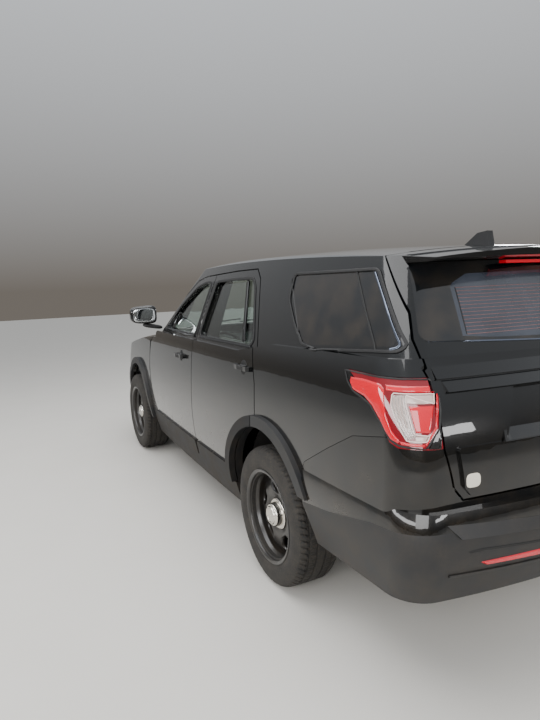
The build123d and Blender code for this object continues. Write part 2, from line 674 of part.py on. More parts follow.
# Front: bumper with its intake, and a barred grille
with BuildPart() as front_bumper:
    extrude(side_view(FRONT_BUMPER), amount=1200, both=True)
    extrude(front_view(GRILLE_HALF, grow=FIT), amount=AHEAD, mode=Mode.SUBTRACT)
    extrude(front_view(INTAKE_HALF), amount=AHEAD, mode=Mode.SUBTRACT)
    add(LOWER, mode=Mode.INTERSECT)
    add(LOWER_SHELL, mode=Mode.SUBTRACT)
    add(FRONT_ARCH, mode=Mode.SUBTRACT)
    mirror(FRONT_ARCH, about=Plane.XZ, mode=Mode.SUBTRACT)
    Box(2 * NOSE_X, 2 * FAR, 2 * FAR, mode=Mode.INTERSECT)
front_bumper.part.label = "front_bumper"
export_step(front_bumper.part, "parts/front_bumper.step")
with BuildPart() as grille:
    extrude(front_view(GRILLE_HALF), amount=AHEAD)
    with BuildSketch(Plane.YZ):
        add(front_view(GRILLE_HALF, grow=-GRILLE_FRAME))
        with Locations((0, GRILLE_Z)):
            with GridLocations(0, GRILLE_PITCH, 1, GRILLE_BARS):
                Rectangle(1300, GRILLE_BAR, mode=Mode.SUBTRACT)
            with GridLocations(300, 0, 3, 1):
                Rectangle(GRILLE_BAR, 400, mode=Mode.SUBTRACT)
    extrude(amount=AHEAD, mode=Mode.SUBTRACT)
    add(lower_form(12), mode=Mode.INTERSECT)
    add(LOWER_SHELL, mode=Mode.SUBTRACT)
grille.part.label = "grille"
export_step(grille.part, "parts/grille.step")

# Rear bumper: painted corners and shell, and the dark valance below them
with BuildPart() as bumper_zone:
    extrude(side_view(BUMPER_EDGE), amount=OUT)
    mirror(bumper_zone.part, about=Plane.XZ)
with BuildPart() as moulding_clearance:
    with BuildSketch(Plane.XZ):
        with Locations((REAR_AXLE_X, ARCH_Z)):
            Circle(MOULD_R + 3)
        with Locations((REAR_AXLE_X, MOULD_REAR_FOOT_Z - 3)):
            Rectangle(1400, 800, align=(Align.CENTER, Align.MAX), mode=Mode.SUBTRACT)
    extrude(amount=1300, both=True)
with BuildPart() as rear_shell:
    add(bumper_form(0))
    add(bumper_form(BUMPER_T, COWL_T), mode=Mode.SUBTRACT)
    add(INNER, mode=Mode.SUBTRACT)
    add(bumper_zone.part, mode=Mode.INTERSECT)
    add(REAR_ARCH, mode=Mode.SUBTRACT)
    mirror(REAR_ARCH, about=Plane.XZ, mode=Mode.SUBTRACT)
    add(moulding_clearance.part, mode=Mode.SUBTRACT)
    Box(LENGTH, 2 * FAR, 2 * FAR, mode=Mode.INTERSECT)
with BuildPart() as corners:
    add(LOWER)
    add(LOWER_PANEL, mode=Mode.SUBTRACT)
    add(bumper_zone.part, mode=Mode.INTERSECT)
    add(above(740), mode=Mode.INTERSECT)
    add(GATE_CUT, mode=Mode.SUBTRACT)
    add(tail_lamp.part, mode=Mode.SUBTRACT)
    mirror(tail_lamp.part, about=Plane.XZ, mode=Mode.SUBTRACT)
    add(REAR_ARCH, mode=Mode.SUBTRACT)
    mirror(REAR_ARCH, about=Plane.XZ, mode=Mode.SUBTRACT)
with BuildPart() as low_zone:
    extrude(side_view(BUMPER_LOWER), amount=1200, both=True)
with BuildPart() as rear_bumper:
    add(rear_shell.part)
    add(corners.part)
    add(low_zone.part, mode=Mode.SUBTRACT)
rear_bumper.part.label = "rear_bumper"
export_step(rear_bumper.part, "parts/rear_bumper.step")
with BuildPart() as rear_valance:
    add(rear_shell.part)
    add(low_zone.part, mode=Mode.INTERSECT)
rear_valance.part.label = "rear_valance"
export_step(rear_valance.part, "parts/rear_valance.step")

# Wheels, drawn about their own axle with +Y outboard
with BuildPart() as rim:
    with BuildSketch(Plane.XY):
        with BuildLine():
            Polyline(*RIM, close=True)
        make_face()
    revolve(axis=Axis.Y)
    with BuildSketch(Plane.XZ):
        with PolarLocations(152, 5, start_angle=90):
            SlotOverall(96, 52, rotation=90)
    extrude(amount=-130, mode=Mode.SUBTRACT)
    with BuildSketch(Plane.XY):
        with BuildLine():
            Polyline(*HUB_CAP, close=True)
        make_face()
    revolve(axis=Axis.Y)
    with Locations((0, -8, 0)):
        Cylinder(55, 96, rotation=(90, 0, 0))
    with Locations((0, -10, 0)):
        Cylinder(162, 26, rotation=(90, 0, 0))
with BuildPart() as tyre:
    bead_r = RIM_SEAT_R + 0.2
    with BuildSketch(Plane.XY):
        with BuildLine():
            Line((bead_r, -RIM_W + 10), (bead_r, RIM_W - 10))
            Line((bead_r, RIM_W - 10), (250, RIM_W - 4))
            ThreePointArc((250, RIM_W - 4), (298, TYRE_W / 2), (345, 108))
            ThreePointArc((345, 108), (357, 100), (360, 88))
            ThreePointArc((360, 88), (TYRE_R, 0), (360, -88))
            ThreePointArc((360, -88), (357, -100), (345, -108))
            ThreePointArc((345, -108), (298, -TYRE_W / 2), (250, -RIM_W + 4))
            Line((250, -RIM_W + 4), (bead_r, -RIM_W + 10))
        make_face()
    revolve(axis=Axis.Y)
for corner, axle_x, side in WHEELS:
    for name, piece in (("rim", rim.part), ("tyre", tyre.part)):
        with BuildPart() as placed:
            with Locations((axle_x, side * WHEEL_Y, TYRE_R)):
                add(piece if side > 0 else piece.mirror(Plane.XZ))
        placed.part.label = f"{name}_{corner}"
        export_step(placed.part, f"parts/{name}_{corner}.step")

# Steering knuckles turn about the line from the lower ball joint to the strut's top mount
with BuildPart() as knuckle:
    with Locations((FRONT_AXLE_X, KNUCKLE_Y, TYRE_R)):
        Cylinder(60, 40, rotation=(90, 0, 0))
    with Locations((FRONT_AXLE_X, KNUCKLE_Y, 300)):
        Box(50, 34, 130)
    with Locations((FRONT_AXLE_X, 745, 430)):
        Box(50, 70, 120)
    with BuildSketch(Plane(origin=(FRONT_AXLE_X, 706, 440), z_dir=(-15, -46, 420))):
        Circle(27)
    extrude(amount=330)
    with Locations((FRONT_AXLE_X - 90, 745, 300)):
        Box(150, 24, 30)
for side, place in ((1, "left"), (-1, "right")):
    with BuildPart() as placed:
        add(knuckle.part if side > 0 else knuckle.part.mirror(Plane.XZ))
    placed.part.label = f"knuckle_{place}"
    export_step(placed.part, f"parts/knuckle_{place}.step")

# Floor: flat cabin pan between the sills, raised cargo floor, tunnel and wheel tubs
with BuildPart() as floor_pan:
    with BuildSketch(Plane.XZ):
        with BuildLine():
            Polyline(
                (FIREWALL_X, CABIN_FLOOR_Z - FLOOR_T), (FIREWALL_X, CABIN_FLOOR_Z), (KICK_X, CABIN_FLOOR_Z),
                (CARGO_X, CARGO_Z), (TAIL_FLOOR_X, CARGO_Z), (TAIL_FLOOR_X, CARGO_Z - FLOOR_T),
                (CARGO_X - 20, CARGO_Z - FLOOR_T), (KICK_X - 20, CABIN_FLOOR_Z - FLOOR_T), close=True,
            )
        make_face()
    extrude(amount=SILL_Y, both=True)
    for side, align in ((1, Align.MIN), (-1, Align.MAX)):
        with Locations((-1700, side * (REAR_WELL_Y - 10), 0)):
            Box(1690, 400, 2 * FAR, align=(Align.CENTER, align, Align.CENTER), mode=Mode.SUBTRACT)
        with Locations((-1420, side * (REAR_WELL_Y - 16), 640)):
            Box(1080, 12, 480)
    with BuildSketch(Plane.YZ.offset(-820)):
        with BuildLine():
            Polyline((-130, 330), (-90, 480), (90, 480), (130, 330), close=True)
        make_face()
    extrude(amount=1930)
    with BuildSketch(Plane.YZ.offset(-960)):
        with BuildLine():
            Polyline((-100, 300), (-70, 455), (70, 455), (100, 300), close=True)
        make_face()
    extrude(amount=2080, mode=Mode.SUBTRACT)
floor_pan.part.label = "floor_pan"
export_step(floor_pan.part, "parts/floor_pan.step")

# Engine bay: firewall, two rails and the radiator support
with BuildPart() as firewall:
    with Locations((FIREWALL_X, 0, 305)):
        Box(FIREWALL_T, 2 * SILL_Y, 780, align=(Align.MIN, Align.CENTER, Align.MIN))
    with Locations((FIREWALL_X - 30, 0, 1060)):
        Box(30, 2 * 380, 130, align=(Align.MIN, Align.CENTER, Align.MIN))
    with Locations((FIREWALL_X, 0, 0)):
        Box(60, 2 * 130, 2 * 480, mode=Mode.SUBTRACT)
    add(lower_form(WALL, COWL_T), mode=Mode.INTERSECT)
firewall.part.label = "firewall"
export_step(firewall.part, "parts/firewall.step")
with BuildPart() as front_frame:
    for side in (1, -1):
        with Locations((FIREWALL_X + FIREWALL_T, side * 500, 330)):
            Box(1106, 18, 560, align=(Align.MIN, Align.CENTER, Align.MIN))
        with Locations((1545, side * 575, 900)):
            Box(260, 170, 14)
        with Locations((1545, side * 505, 900)):
            Box(260, 20, 40)
    with Locations((2206, 0, 330)):
        Box(18, 1018, 560, align=(Align.MIN, Align.CENTER, Align.MIN))
    with Locations((FRONT_AXLE_X, 0, 300)):
        Box(420, 1000, 70)
front_frame.part.label = "front_frame"
export_step(front_frame.part, "parts/front_frame.step")
with BuildPart() as engine:
    with Locations((1650, 0, 335)):
        Box(560, 700, 560, align=(Align.CENTER, Align.CENTER, Align.MIN))
    with Locations((1900, 0, 420)):
        Box(120, 640, 380, align=(Align.CENTER, Align.CENTER, Align.MIN))
    chamfer(engine.edges().filter_by(Axis.Y).group_by(Axis.Z)[-1], 60)
engine.part.label = "engine"
export_step(engine.part, "parts/engine.step")

# Front lower arms reach each ball joint, rear arms carry a fixed hub
with BuildPart() as front_suspension:
    for side in (1, -1):
        with BuildSketch(Plane(origin=(FRONT_AXLE_X, 0, 190))):
            with BuildLine():
                Polyline(*[(x, side * y) for x, y in FRONT_ARM], close=True)
            make_face()
        extrude(amount=28)
    with Locations((FRONT_AXLE_X, 0, 226.5)):
        Box(420, 900, 77)
front_suspension.part.label = "front_suspension"
export_step(front_suspension.part, "parts/front_suspension.step")
with BuildPart() as rear_suspension:
    with Locations((REAR_AXLE_X, 0, 280)):
        Box(300, 1100, 60)
    for side in (1, -1):
        with Locations((REAR_AXLE_X, side * 640, 290)):
            Box(90, 240, 60)
        with Locations((REAR_AXLE_X, side * 776, 340)):
            Box(120, 32, 220)
        with Locations((REAR_AXLE_X + 90, side * 520, 480)):
            Cylinder(50, 360)
rear_suspension.part.label = "rear_suspension"
export_step(rear_suspension.part, "parts/rear_suspension.step")

# Exhaust: one pipe each side from the cross-wise muffler to a tailpipe
with BuildPart() as exhaust:
    with Locations((-1900, 0, 470)):
        Box(260, 900, 150)
    fillet(exhaust.edges().filter_by(Axis.Y), 55)
    for side in (1, -1):
        with BuildSketch(Plane(origin=(-1900, side * 380, 450), z_dir=(-470, side * 40, -5))):
            Circle(40)
            Circle(36, mode=Mode.SUBTRACT)
        extrude(amount=470)
    with Locations((-850, 0, 380)):
        Box(1900, 60, 60)
exhaust.part.label = "exhaust"
export_step(exhaust.part, "parts/exhaust.step")

# Wheel liners: an arched sheet in each well
with BuildPart() as wheel_liners:
    for corner, axle_x, side in WHEELS:
        inner_y, outer_y = (FRONT_WELL_Y, 806) if "front" in corner else (REAR_WELL_Y - 10, 840)
        with BuildSketch(Plane.XZ.offset(-side * inner_y)):
            with Locations((axle_x, ARCH_Z)):
                Circle(ARCH_R + 16)
                Circle(ARCH_R + 10, mode=Mode.SUBTRACT)
            with Locations((axle_x, 404)):
                Rectangle(1200, 600, align=(Align.CENTER, Align.MAX), mode=Mode.SUBTRACT)
        extrude(amount=-side * (outer_y - inner_y))
wheel_liners.part.label = "wheel_liners"
export_step(wheel_liners.part, "parts/wheel_liners.step")

# Cabin: dashboard with its column shroud, steering wheel, seats
with BuildPart() as dashboard:
    extrude(side_view(DASH), amount=740, both=True)
    with Locations((840, 0, 480)):
        Box(330, 180, 300, align=(Align.CENTER, Align.CENTER, Align.MIN))
    with BuildSketch(Plane(origin=WHEEL_HUB, z_dir=COLUMN_AXIS).offset(-120)):
        Circle(45)
    extrude(amount=-120)
dashboard.part.label = "dashboard"
export_step(dashboard.part, "parts/dashboard.step")
with BuildPart() as steering_wheel:
    with BuildSketch(Plane.XZ):
        with Locations((185, 0)):
            Circle(15)
    revolve(axis=Axis.Z)
    with BuildSketch():
        Circle(60)
        Rectangle(350, 34)
        with Locations((0, -92)):
            Rectangle(34, 170)
    extrude(amount=11, both=True)
    Cylinder(22, 110, align=(Align.CENTER, Align.CENTER, Align.MAX))
with BuildPart() as placed:
    add(Pos(*WHEEL_HUB) * Rot(0, -90 + COLUMN_TILT, 0) * Rot(0, 0, -90) * steering_wheel.part)
placed.part.label = "steering_wheel"
export_step(placed.part, "parts/steering_wheel.step")
with BuildPart() as seat:
    extrude(side_view(SEAT), amount=240, both=True)
    with Locations((-410, 0, 1190)):
        Box(90, 250, 170)
    fillet(seat.edges().filter_by(Axis.Z, reverse=True).filter_by(GeomType.LINE).group_by(Axis.Y)[0], 12)
with BuildPart() as front_seats:
    with Locations((190, 380, 0), (190, -380, 0)):
        add(seat.part)
front_seats.part.label = "front_seats"
export_step(front_seats.part, "parts/front_seats.step")
with BuildPart() as rear_seat:
    extrude(side_view(BENCH), amount=610, both=True)
    with Locations((-700, 0, 400)):
        Box(1000, 270, 190, mode=Mode.SUBTRACT)
    with Locations((-955, 0, 1190)):
        with GridLocations(0, 400, 1, 3):
            Box(80, 240, 130)
rear_seat.part.label = "rear_seat"
export_step(rear_seat.part, "parts/rear_seat.step")

# Roof antenna fin near the rear of the roof
with BuildPart() as antenna:
    extrude(side_view(ANTENNA), amount=18, both=True)
    add(cabin_form(0), mode=Mode.SUBTRACT)
antenna.part.label = "antenna"
export_step(antenna.part, "parts/antenna.step")

# Door mirrors: a tapered head on an arm from each front door
with BuildPart() as mirror_head:
    for x, width, height, corner_r in ((792, 200, 170, 42), (870, 186, 156, 46), (905, 120, 96, 40)):
        with BuildSketch(Plane.YZ.offset(x)):
            with Locations((1135 - width / 2, 1330)):
                RectangleRounded(width, height, corner_r)
    loft()
    with BuildSketch(Plane.YZ.offset(770)):
        with BuildLine():
            Polyline(*MIRROR_ARM, close=True)
        make_face()
    extrude(amount=84)
    add(LEFT, mode=Mode.SUBTRACT)
for side, place in ((1, "left"), (-1, "right")):
    with BuildPart() as placed:
        add(mirror_head.part if side > 0 else mirror_head.part.mirror(Plane.XZ))
    placed.part.label = f"mirror_{place}"
    export_step(placed.part, f"parts/mirror_{place}.step")
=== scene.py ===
"""Looks of a black three-row sport utility vehicle on steel wheels.

Laid out as a Blender add-on and run as a script. The frame is +X forward, +Y to the vehicle's left and
+Z up, with the origin on the ground at mid length. Shapes are worked out in millimetres and put into
the meshes in metres.
"""

import json
from math import cos, radians, sin, tau

import bmesh
import bpy
import numpy as np
from bpy.props import FloatProperty, FloatVectorProperty, IntProperty, PointerProperty
from bpy.types import NodeSocket, Operator, Panel, PropertyGroup
from mathutils import Matrix, Vector


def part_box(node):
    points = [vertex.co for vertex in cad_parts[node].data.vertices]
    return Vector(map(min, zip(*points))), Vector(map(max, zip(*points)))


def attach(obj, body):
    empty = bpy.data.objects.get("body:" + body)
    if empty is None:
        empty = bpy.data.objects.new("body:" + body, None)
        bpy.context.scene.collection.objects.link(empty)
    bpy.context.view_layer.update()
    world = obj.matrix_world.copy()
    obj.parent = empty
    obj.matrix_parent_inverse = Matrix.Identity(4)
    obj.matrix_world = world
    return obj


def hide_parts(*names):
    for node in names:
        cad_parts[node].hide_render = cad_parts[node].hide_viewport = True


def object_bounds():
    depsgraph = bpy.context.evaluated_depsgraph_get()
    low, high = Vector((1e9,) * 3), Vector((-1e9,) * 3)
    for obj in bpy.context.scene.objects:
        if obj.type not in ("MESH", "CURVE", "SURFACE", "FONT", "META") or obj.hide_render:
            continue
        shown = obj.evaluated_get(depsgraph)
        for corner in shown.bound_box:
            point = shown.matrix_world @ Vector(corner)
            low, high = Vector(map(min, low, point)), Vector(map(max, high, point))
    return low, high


bl_info = {
    "name": "Three-row utility vehicle",
    "version": (1, 0, 0),
    "blender": (4, 5, 0),
    "location": "View3D > Sidebar > Vehicle",
    "description": "Dresses the packed vehicle with wheels, lamps, trim, seats and finishes",
    "category": "Object",
}

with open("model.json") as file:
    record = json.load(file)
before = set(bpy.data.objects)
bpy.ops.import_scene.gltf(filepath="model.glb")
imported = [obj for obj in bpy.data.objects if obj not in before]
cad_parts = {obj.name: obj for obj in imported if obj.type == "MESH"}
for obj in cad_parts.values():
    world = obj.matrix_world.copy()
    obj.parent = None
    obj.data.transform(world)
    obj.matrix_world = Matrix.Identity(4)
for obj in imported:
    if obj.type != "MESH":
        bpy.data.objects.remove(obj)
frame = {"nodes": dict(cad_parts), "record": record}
NODES = frame["nodes"]
CAD_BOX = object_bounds()
MM = 0.001
SIDES = ("left", "right")

# Where paint gives way to cladding: the rear arch moulding's centre (x, z) and radius, and the top line
REAR_ARCH = (-1296.5, 397)
MOULDING_RADIUS = 500
CLADDING_TOP = 508


def linear(code):
    """The linear RGBA colour of an sRGB hex code: each channel undoes the sRGB transfer curve."""
    channels = [int(code[i : i + 2], 16) / 255 for i in (1, 3, 5)]
    return (*(c / 12.92 if c <= 0.04045 else ((c + 0.055) / 1.055) ** 2.4 for c in channels), 1.0)


def colour(name, text, code):
    """A colour setting whose default is an sRGB hex code."""
    return FloatVectorProperty(
        name=name, description=text, subtype="COLOR", size=4, min=0, max=1, default=linear(code)
    )


def number(name, text, value, **limits):
    """A plain number setting."""
    return FloatProperty(name=name, description=text, default=value, **limits)


class VehicleFinish(PropertyGroup):
    """Colours of the vehicle's finishes"""

    paint: colour("Paint", "Body paint under its clear coat", "#040506")
    plastic: colour("Moulded plastic", "Cladding, mouldings and valances", "#17181A")
    dust: colour("Dust", "Road dust on the lower body", "#7D6A50")
    dust_amount: number("Dust amount", "Share of dust low down", 0.2, min=0, max=1, subtype="FACTOR")
    tint: colour("Privacy glass", "Quarter and rear glass", "#0B0D10")
    lens: colour("Red lens", "Tail lamps, brake lamp and reflectors", "#C90420")
    cloth: colour("Seat cloth", "Seat covers", "#1E1F22")


class VehicleWheels(PropertyGroup):
    """Sizes of the wheels and tyres, in millimetres"""

    tread_depth: number("Tread depth", "Depth of the tyre's grooves, in mm", 7.5, min=0)
    tread_pitches: IntProperty(name="Tread pitches", description="Blocks round the tyre", default=70, min=12)
    cap_radius: number("Cap radius", "Radius of the bright centre cap's cup, in mm", 60, min=0)
    cap_flange: number("Cap flange", "Radius of the centre cap's flange, in mm", 82, min=0)
    cap_face: number("Cap face", "Cap's face out from the wheel's middle plane, in mm", 94, min=0)


class VehicleLamps(PropertyGroup):
    """Counts of the repeated lines in the lamps and the rear glass"""

    ribs: IntProperty(name="Light guide ribs", description="Clear ribs in each tail lamp", default=5, min=1)
    heater_lines: IntProperty(name="Heater lines", description="Lines on the rear glass", default=14, min=1)


class VehicleStage(PropertyGroup):
    """Camera, floor and light"""

    camera_place: FloatVectorProperty(
        name="Camera", description="Camera position", subtype="TRANSLATION", default=(-3.743, 2.125, 1.566)
    )
    camera_yaw: number("Yaw", "Turn from +X, in degrees", -26.38)
    camera_pitch: number("Pitch", "Tilt up, in degrees", -8.01)
    camera_roll: number("Roll", "Turn about the view, in degrees", -2.05)
    camera_lens: number("Lens", "Focal length for a 36 mm long side", 27.3)
    floor: colour("Floor", "Floor colour", "#C9C6C0")
    sky: colour("Sky", "Light from above", "#F1F5FA")
    horizon: colour("Horizon", "Light from the sides", "#77716A")
    light: number("Light", "Power of the soft light above, in watts", 420, min=0)


# Finishes


def fill(node, settings):
    """Sets a node's properties and inputs by name or number. Another node's output is joined to the input."""
    for name, value in settings.items():
        if isinstance(value, NodeSocket):
            node.id_data.links.new(value, node.inputs[name])
        elif isinstance(name, str) and name in node.bl_rna.properties:
            setattr(node, name, value)
        else:
            node.inputs[name].default_value = value
    return node


def add_node(tree, kind, settings, output=0):
    """Adds one shader node with its settings and links, and gives one of its outputs."""
    return fill(tree.nodes.new(f"ShaderNode{kind}"), settings).outputs[output]


def dress(tree, sockets):
    """Sets the Principled shader's sockets, or joins other nodes' outputs to them."""
    fill(tree.nodes["Principled BSDF"], sockets)


def pattern(tree, texture, size_mm, settings):
    """A texture at a scale of size_mm on the object's place, which is the shared frame's, in metres. Noise
    has blotches about as wide, and a wave has its crests tau / 20 of the size apart."""
    place = add_node(tree, "TexCoord", {}, "Object")
    scaled = {"Vector": place, "Scale": 1000 / size_mm, **settings}
    return add_node(tree, f"Tex{texture}", scaled, "Distance" if texture == "Voronoi" else "Fac")


def span(low, high, to_low=0.0, to_high=1.0):
    """Settings that take low..high to to_low..to_high, clamped."""
    return {"From Min": low, "From Max": high, "To Min": to_low, "To Max": to_high}


def patches(tree, size_mm, detail, *limits):
    """Noise whose first two limits are taken to the other two, or to 0 and 1."""
    noise = pattern(tree, "Noise", size_mm, {"Detail": detail})
    return add_node(tree, "MapRange", {"Value": noise, **span(*limits)})


def relief(tree, depth_mm, strength, texture, size_mm, settings=None, mask=None):
    """Turns the shader's normal by a texture size_mm wide and depth_mm deep, only where the mask is one."""
    height = pattern(tree, texture, size_mm, settings or {})
    if mask:
        height = add_node(tree, "Math", {"operation": "MULTIPLY", 0: height, 1: mask})
    emboss = {"Strength": strength, "Distance": depth_mm * MM, "Height": height}
    dress(tree, {"Normal": add_node(tree, "Bump", emboss)})


def add_dust(tree, base, dust, amount, clean, dirty=0.75, top=1.15, foot=0.25):
    """Road dust: none at the top height, thickest at the foot (both in metres), broken up by splashes 90 mm
    and grit 12 mm wide. The roughness runs from clean to dirty at half cover, and is given back."""
    place = add_node(tree, "TexCoord", {}, "Object")
    height = add_node(tree, "SeparateXYZ", {"Vector": place}, "Z")
    fall = add_node(tree, "MapRange", {"Value": height, **span(foot, top, 1.0, 0.0)})
    splash = patches(tree, 90, 6, 0.35, 0.75, 0.0, fall)
    grit = patches(tree, 12, 3, 0.3, 0.8, 0.4 * amount, amount)
    cover = add_node(tree, "Math", {"operation": "MULTIPLY", 0: splash, 1: grit})
    tinted = add_node(tree, "MixRGB", {"Fac": cover, "Color1": base, "Color2": dust})
    rough = add_node(tree, "MapRange", {"Value": cover, **span(0.0, 0.5, clean, dirty)})
    dress(tree, {"Base Color": tinted, "Roughness": rough})
    return rough


def material_of(name, sockets, base=None, layers=(), rough=None, dust=None, grain=None):
    """A material named for what it is made of: the Principled shader's own sockets, then what varies over
    the surface. Each layer lays a colour over the base in patches. rough holds the patches that set the
    roughness, dust what add_dust takes after the base, and grain what relief takes."""
    material = bpy.data.materials.new(name)
    material.use_nodes = True
    tree = material.node_tree
    dress(tree, sockets)
    for tone, *spots in layers:
        base = add_node(tree, "MixRGB", {"Fac": patches(tree, *spots), "Color1": base, "Color2": tone})
    if rough:
        dress(tree, {"Roughness": patches(tree, *rough)})
    if dust:
        add_dust(tree, base, *dust)
    elif base:
        dress(tree, {"Base Color": base})
    if grain:
        relief(tree, *grain)
    return material


def paint_over_cladding(finish):
    """The doors' and sills' paint, which gives way to moulded cladding below its top line and round the rear
    arch. The cladding is duller, has no clear coat and shows its 2 mm grain."""
    coated = {"Coat Roughness": 0.03, "Coat IOR": 1.5, "IOR": 1.5, "Specular IOR Level": 0.2}
    material = material_of("clear_coated_paint_over_cladding", coated)
    tree = material.node_tree
    place = add_node(tree, "TexCoord", {}, "Object")
    height = add_node(tree, "SeparateXYZ", {"Vector": place}, "Z")
    upright = add_node(tree, "VectorMath", {"operation": "MULTIPLY", 0: place, 1: (1, 0, 1)})
    centre = (REAR_ARCH[0] * MM, 0, REAR_ARCH[1] * MM)
    reach = add_node(tree, "VectorMath", {"operation": "DISTANCE", 0: upright, 1: centre}, "Value")
    near = add_node(tree, "Math", {"operation": "LESS_THAN", 0: reach, 1: MOULDING_RADIUS * MM})
    low = add_node(tree, "Math", {"operation": "LESS_THAN", 0: height, 1: CLADDING_TOP * MM})
    clad = add_node(tree, "Math", {"operation": "MAXIMUM", 0: near, 1: low})
    base = add_node(tree, "MixRGB", {"Fac": clad, "Color1": finish.paint, "Color2": finish.plastic})
    rough = add_dust(tree, base, finish.dust, finish.dust_amount, 0.22, 0.72)
    duller = add_node(tree, "Math", {"operation": "MULTIPLY_ADD", 0: clad, 1: 0.3, 2: rough})
    coat = add_node(tree, "Math", {"operation": "SUBTRACT", 0: 1.0, 1: clad})
    dress(tree, {"Roughness": duller, "Coat Weight": coat})
    relief(tree, 0.15, 0.35, "Voronoi", 2.0, mask=clad)
    return material


def woven_cloth(finish):
    """Flat-woven seat cloth: crossed threads, drawn 25 mm apart so that they show."""
    material = material_of("woven_seat_cloth", {"Roughness": 0.9, "Sheen Weight": 0.3, "Sheen Roughness": 0.5})
    tree = material.node_tree
    threads = [pattern(tree, "Wave", 80, {"bands_direction": axis, "Distortion": 0.4}) for axis in "YZ"]
    weave = add_node(tree, "Math", {"operation": "MULTIPLY", 0: threads[0], 1: threads[1]})
    lighter = (*(min(1.0, channel * 2.4) for channel in finish.cloth[:3]), 1.0)
    shades = {"Fac": weave, "Color1": finish.cloth, "Color2": lighter}
    emboss = {"Strength": 0.6, "Distance": 0.5 * MM, "Height": weave}
    dress(tree, {"Base Color": add_node(tree, "MixRGB", shades), "Normal": add_node(tree, "Bump", emboss)})
    return material


def plastic(name, code, roughness, grain=None):
    """Moulded plastic of one colour."""
    return material_of(name, {"Roughness": roughness, "IOR": 1.49}, linear(code), grain=grain)


def lens(name, tone, clear, wave_mm=0):
    """Moulded acrylic lens: coloured through and glossy, with upright optic flutes drawn coarse to show."""
    gloss = {"Roughness": 0.06, "IOR": 1.58, "Coat Weight": 0.6, "Coat Roughness": 0.03}
    flutes = (1.0, 0.5, "Wave", wave_mm, {"bands_direction": "Y"}) if wave_mm else None
    return material_of(name, {"Transmission Weight": clear, **gloss}, tone, grain=flutes)


def metal(name, code, roughness, patch_mm):
    """Cast, rolled or plated metal with uneven sheen in patches, and a grain a sixth as wide."""
    rough = (patch_mm, 5, 0.3, 0.7, roughness * 0.7, roughness)
    grain = (0.15, 0.4, "Noise", patch_mm / 6, {"Detail": 3})
    return material_of(name, {"Metallic": 1.0}, linear(code), rough=rough, grain=grain)


MATERIALS = {}


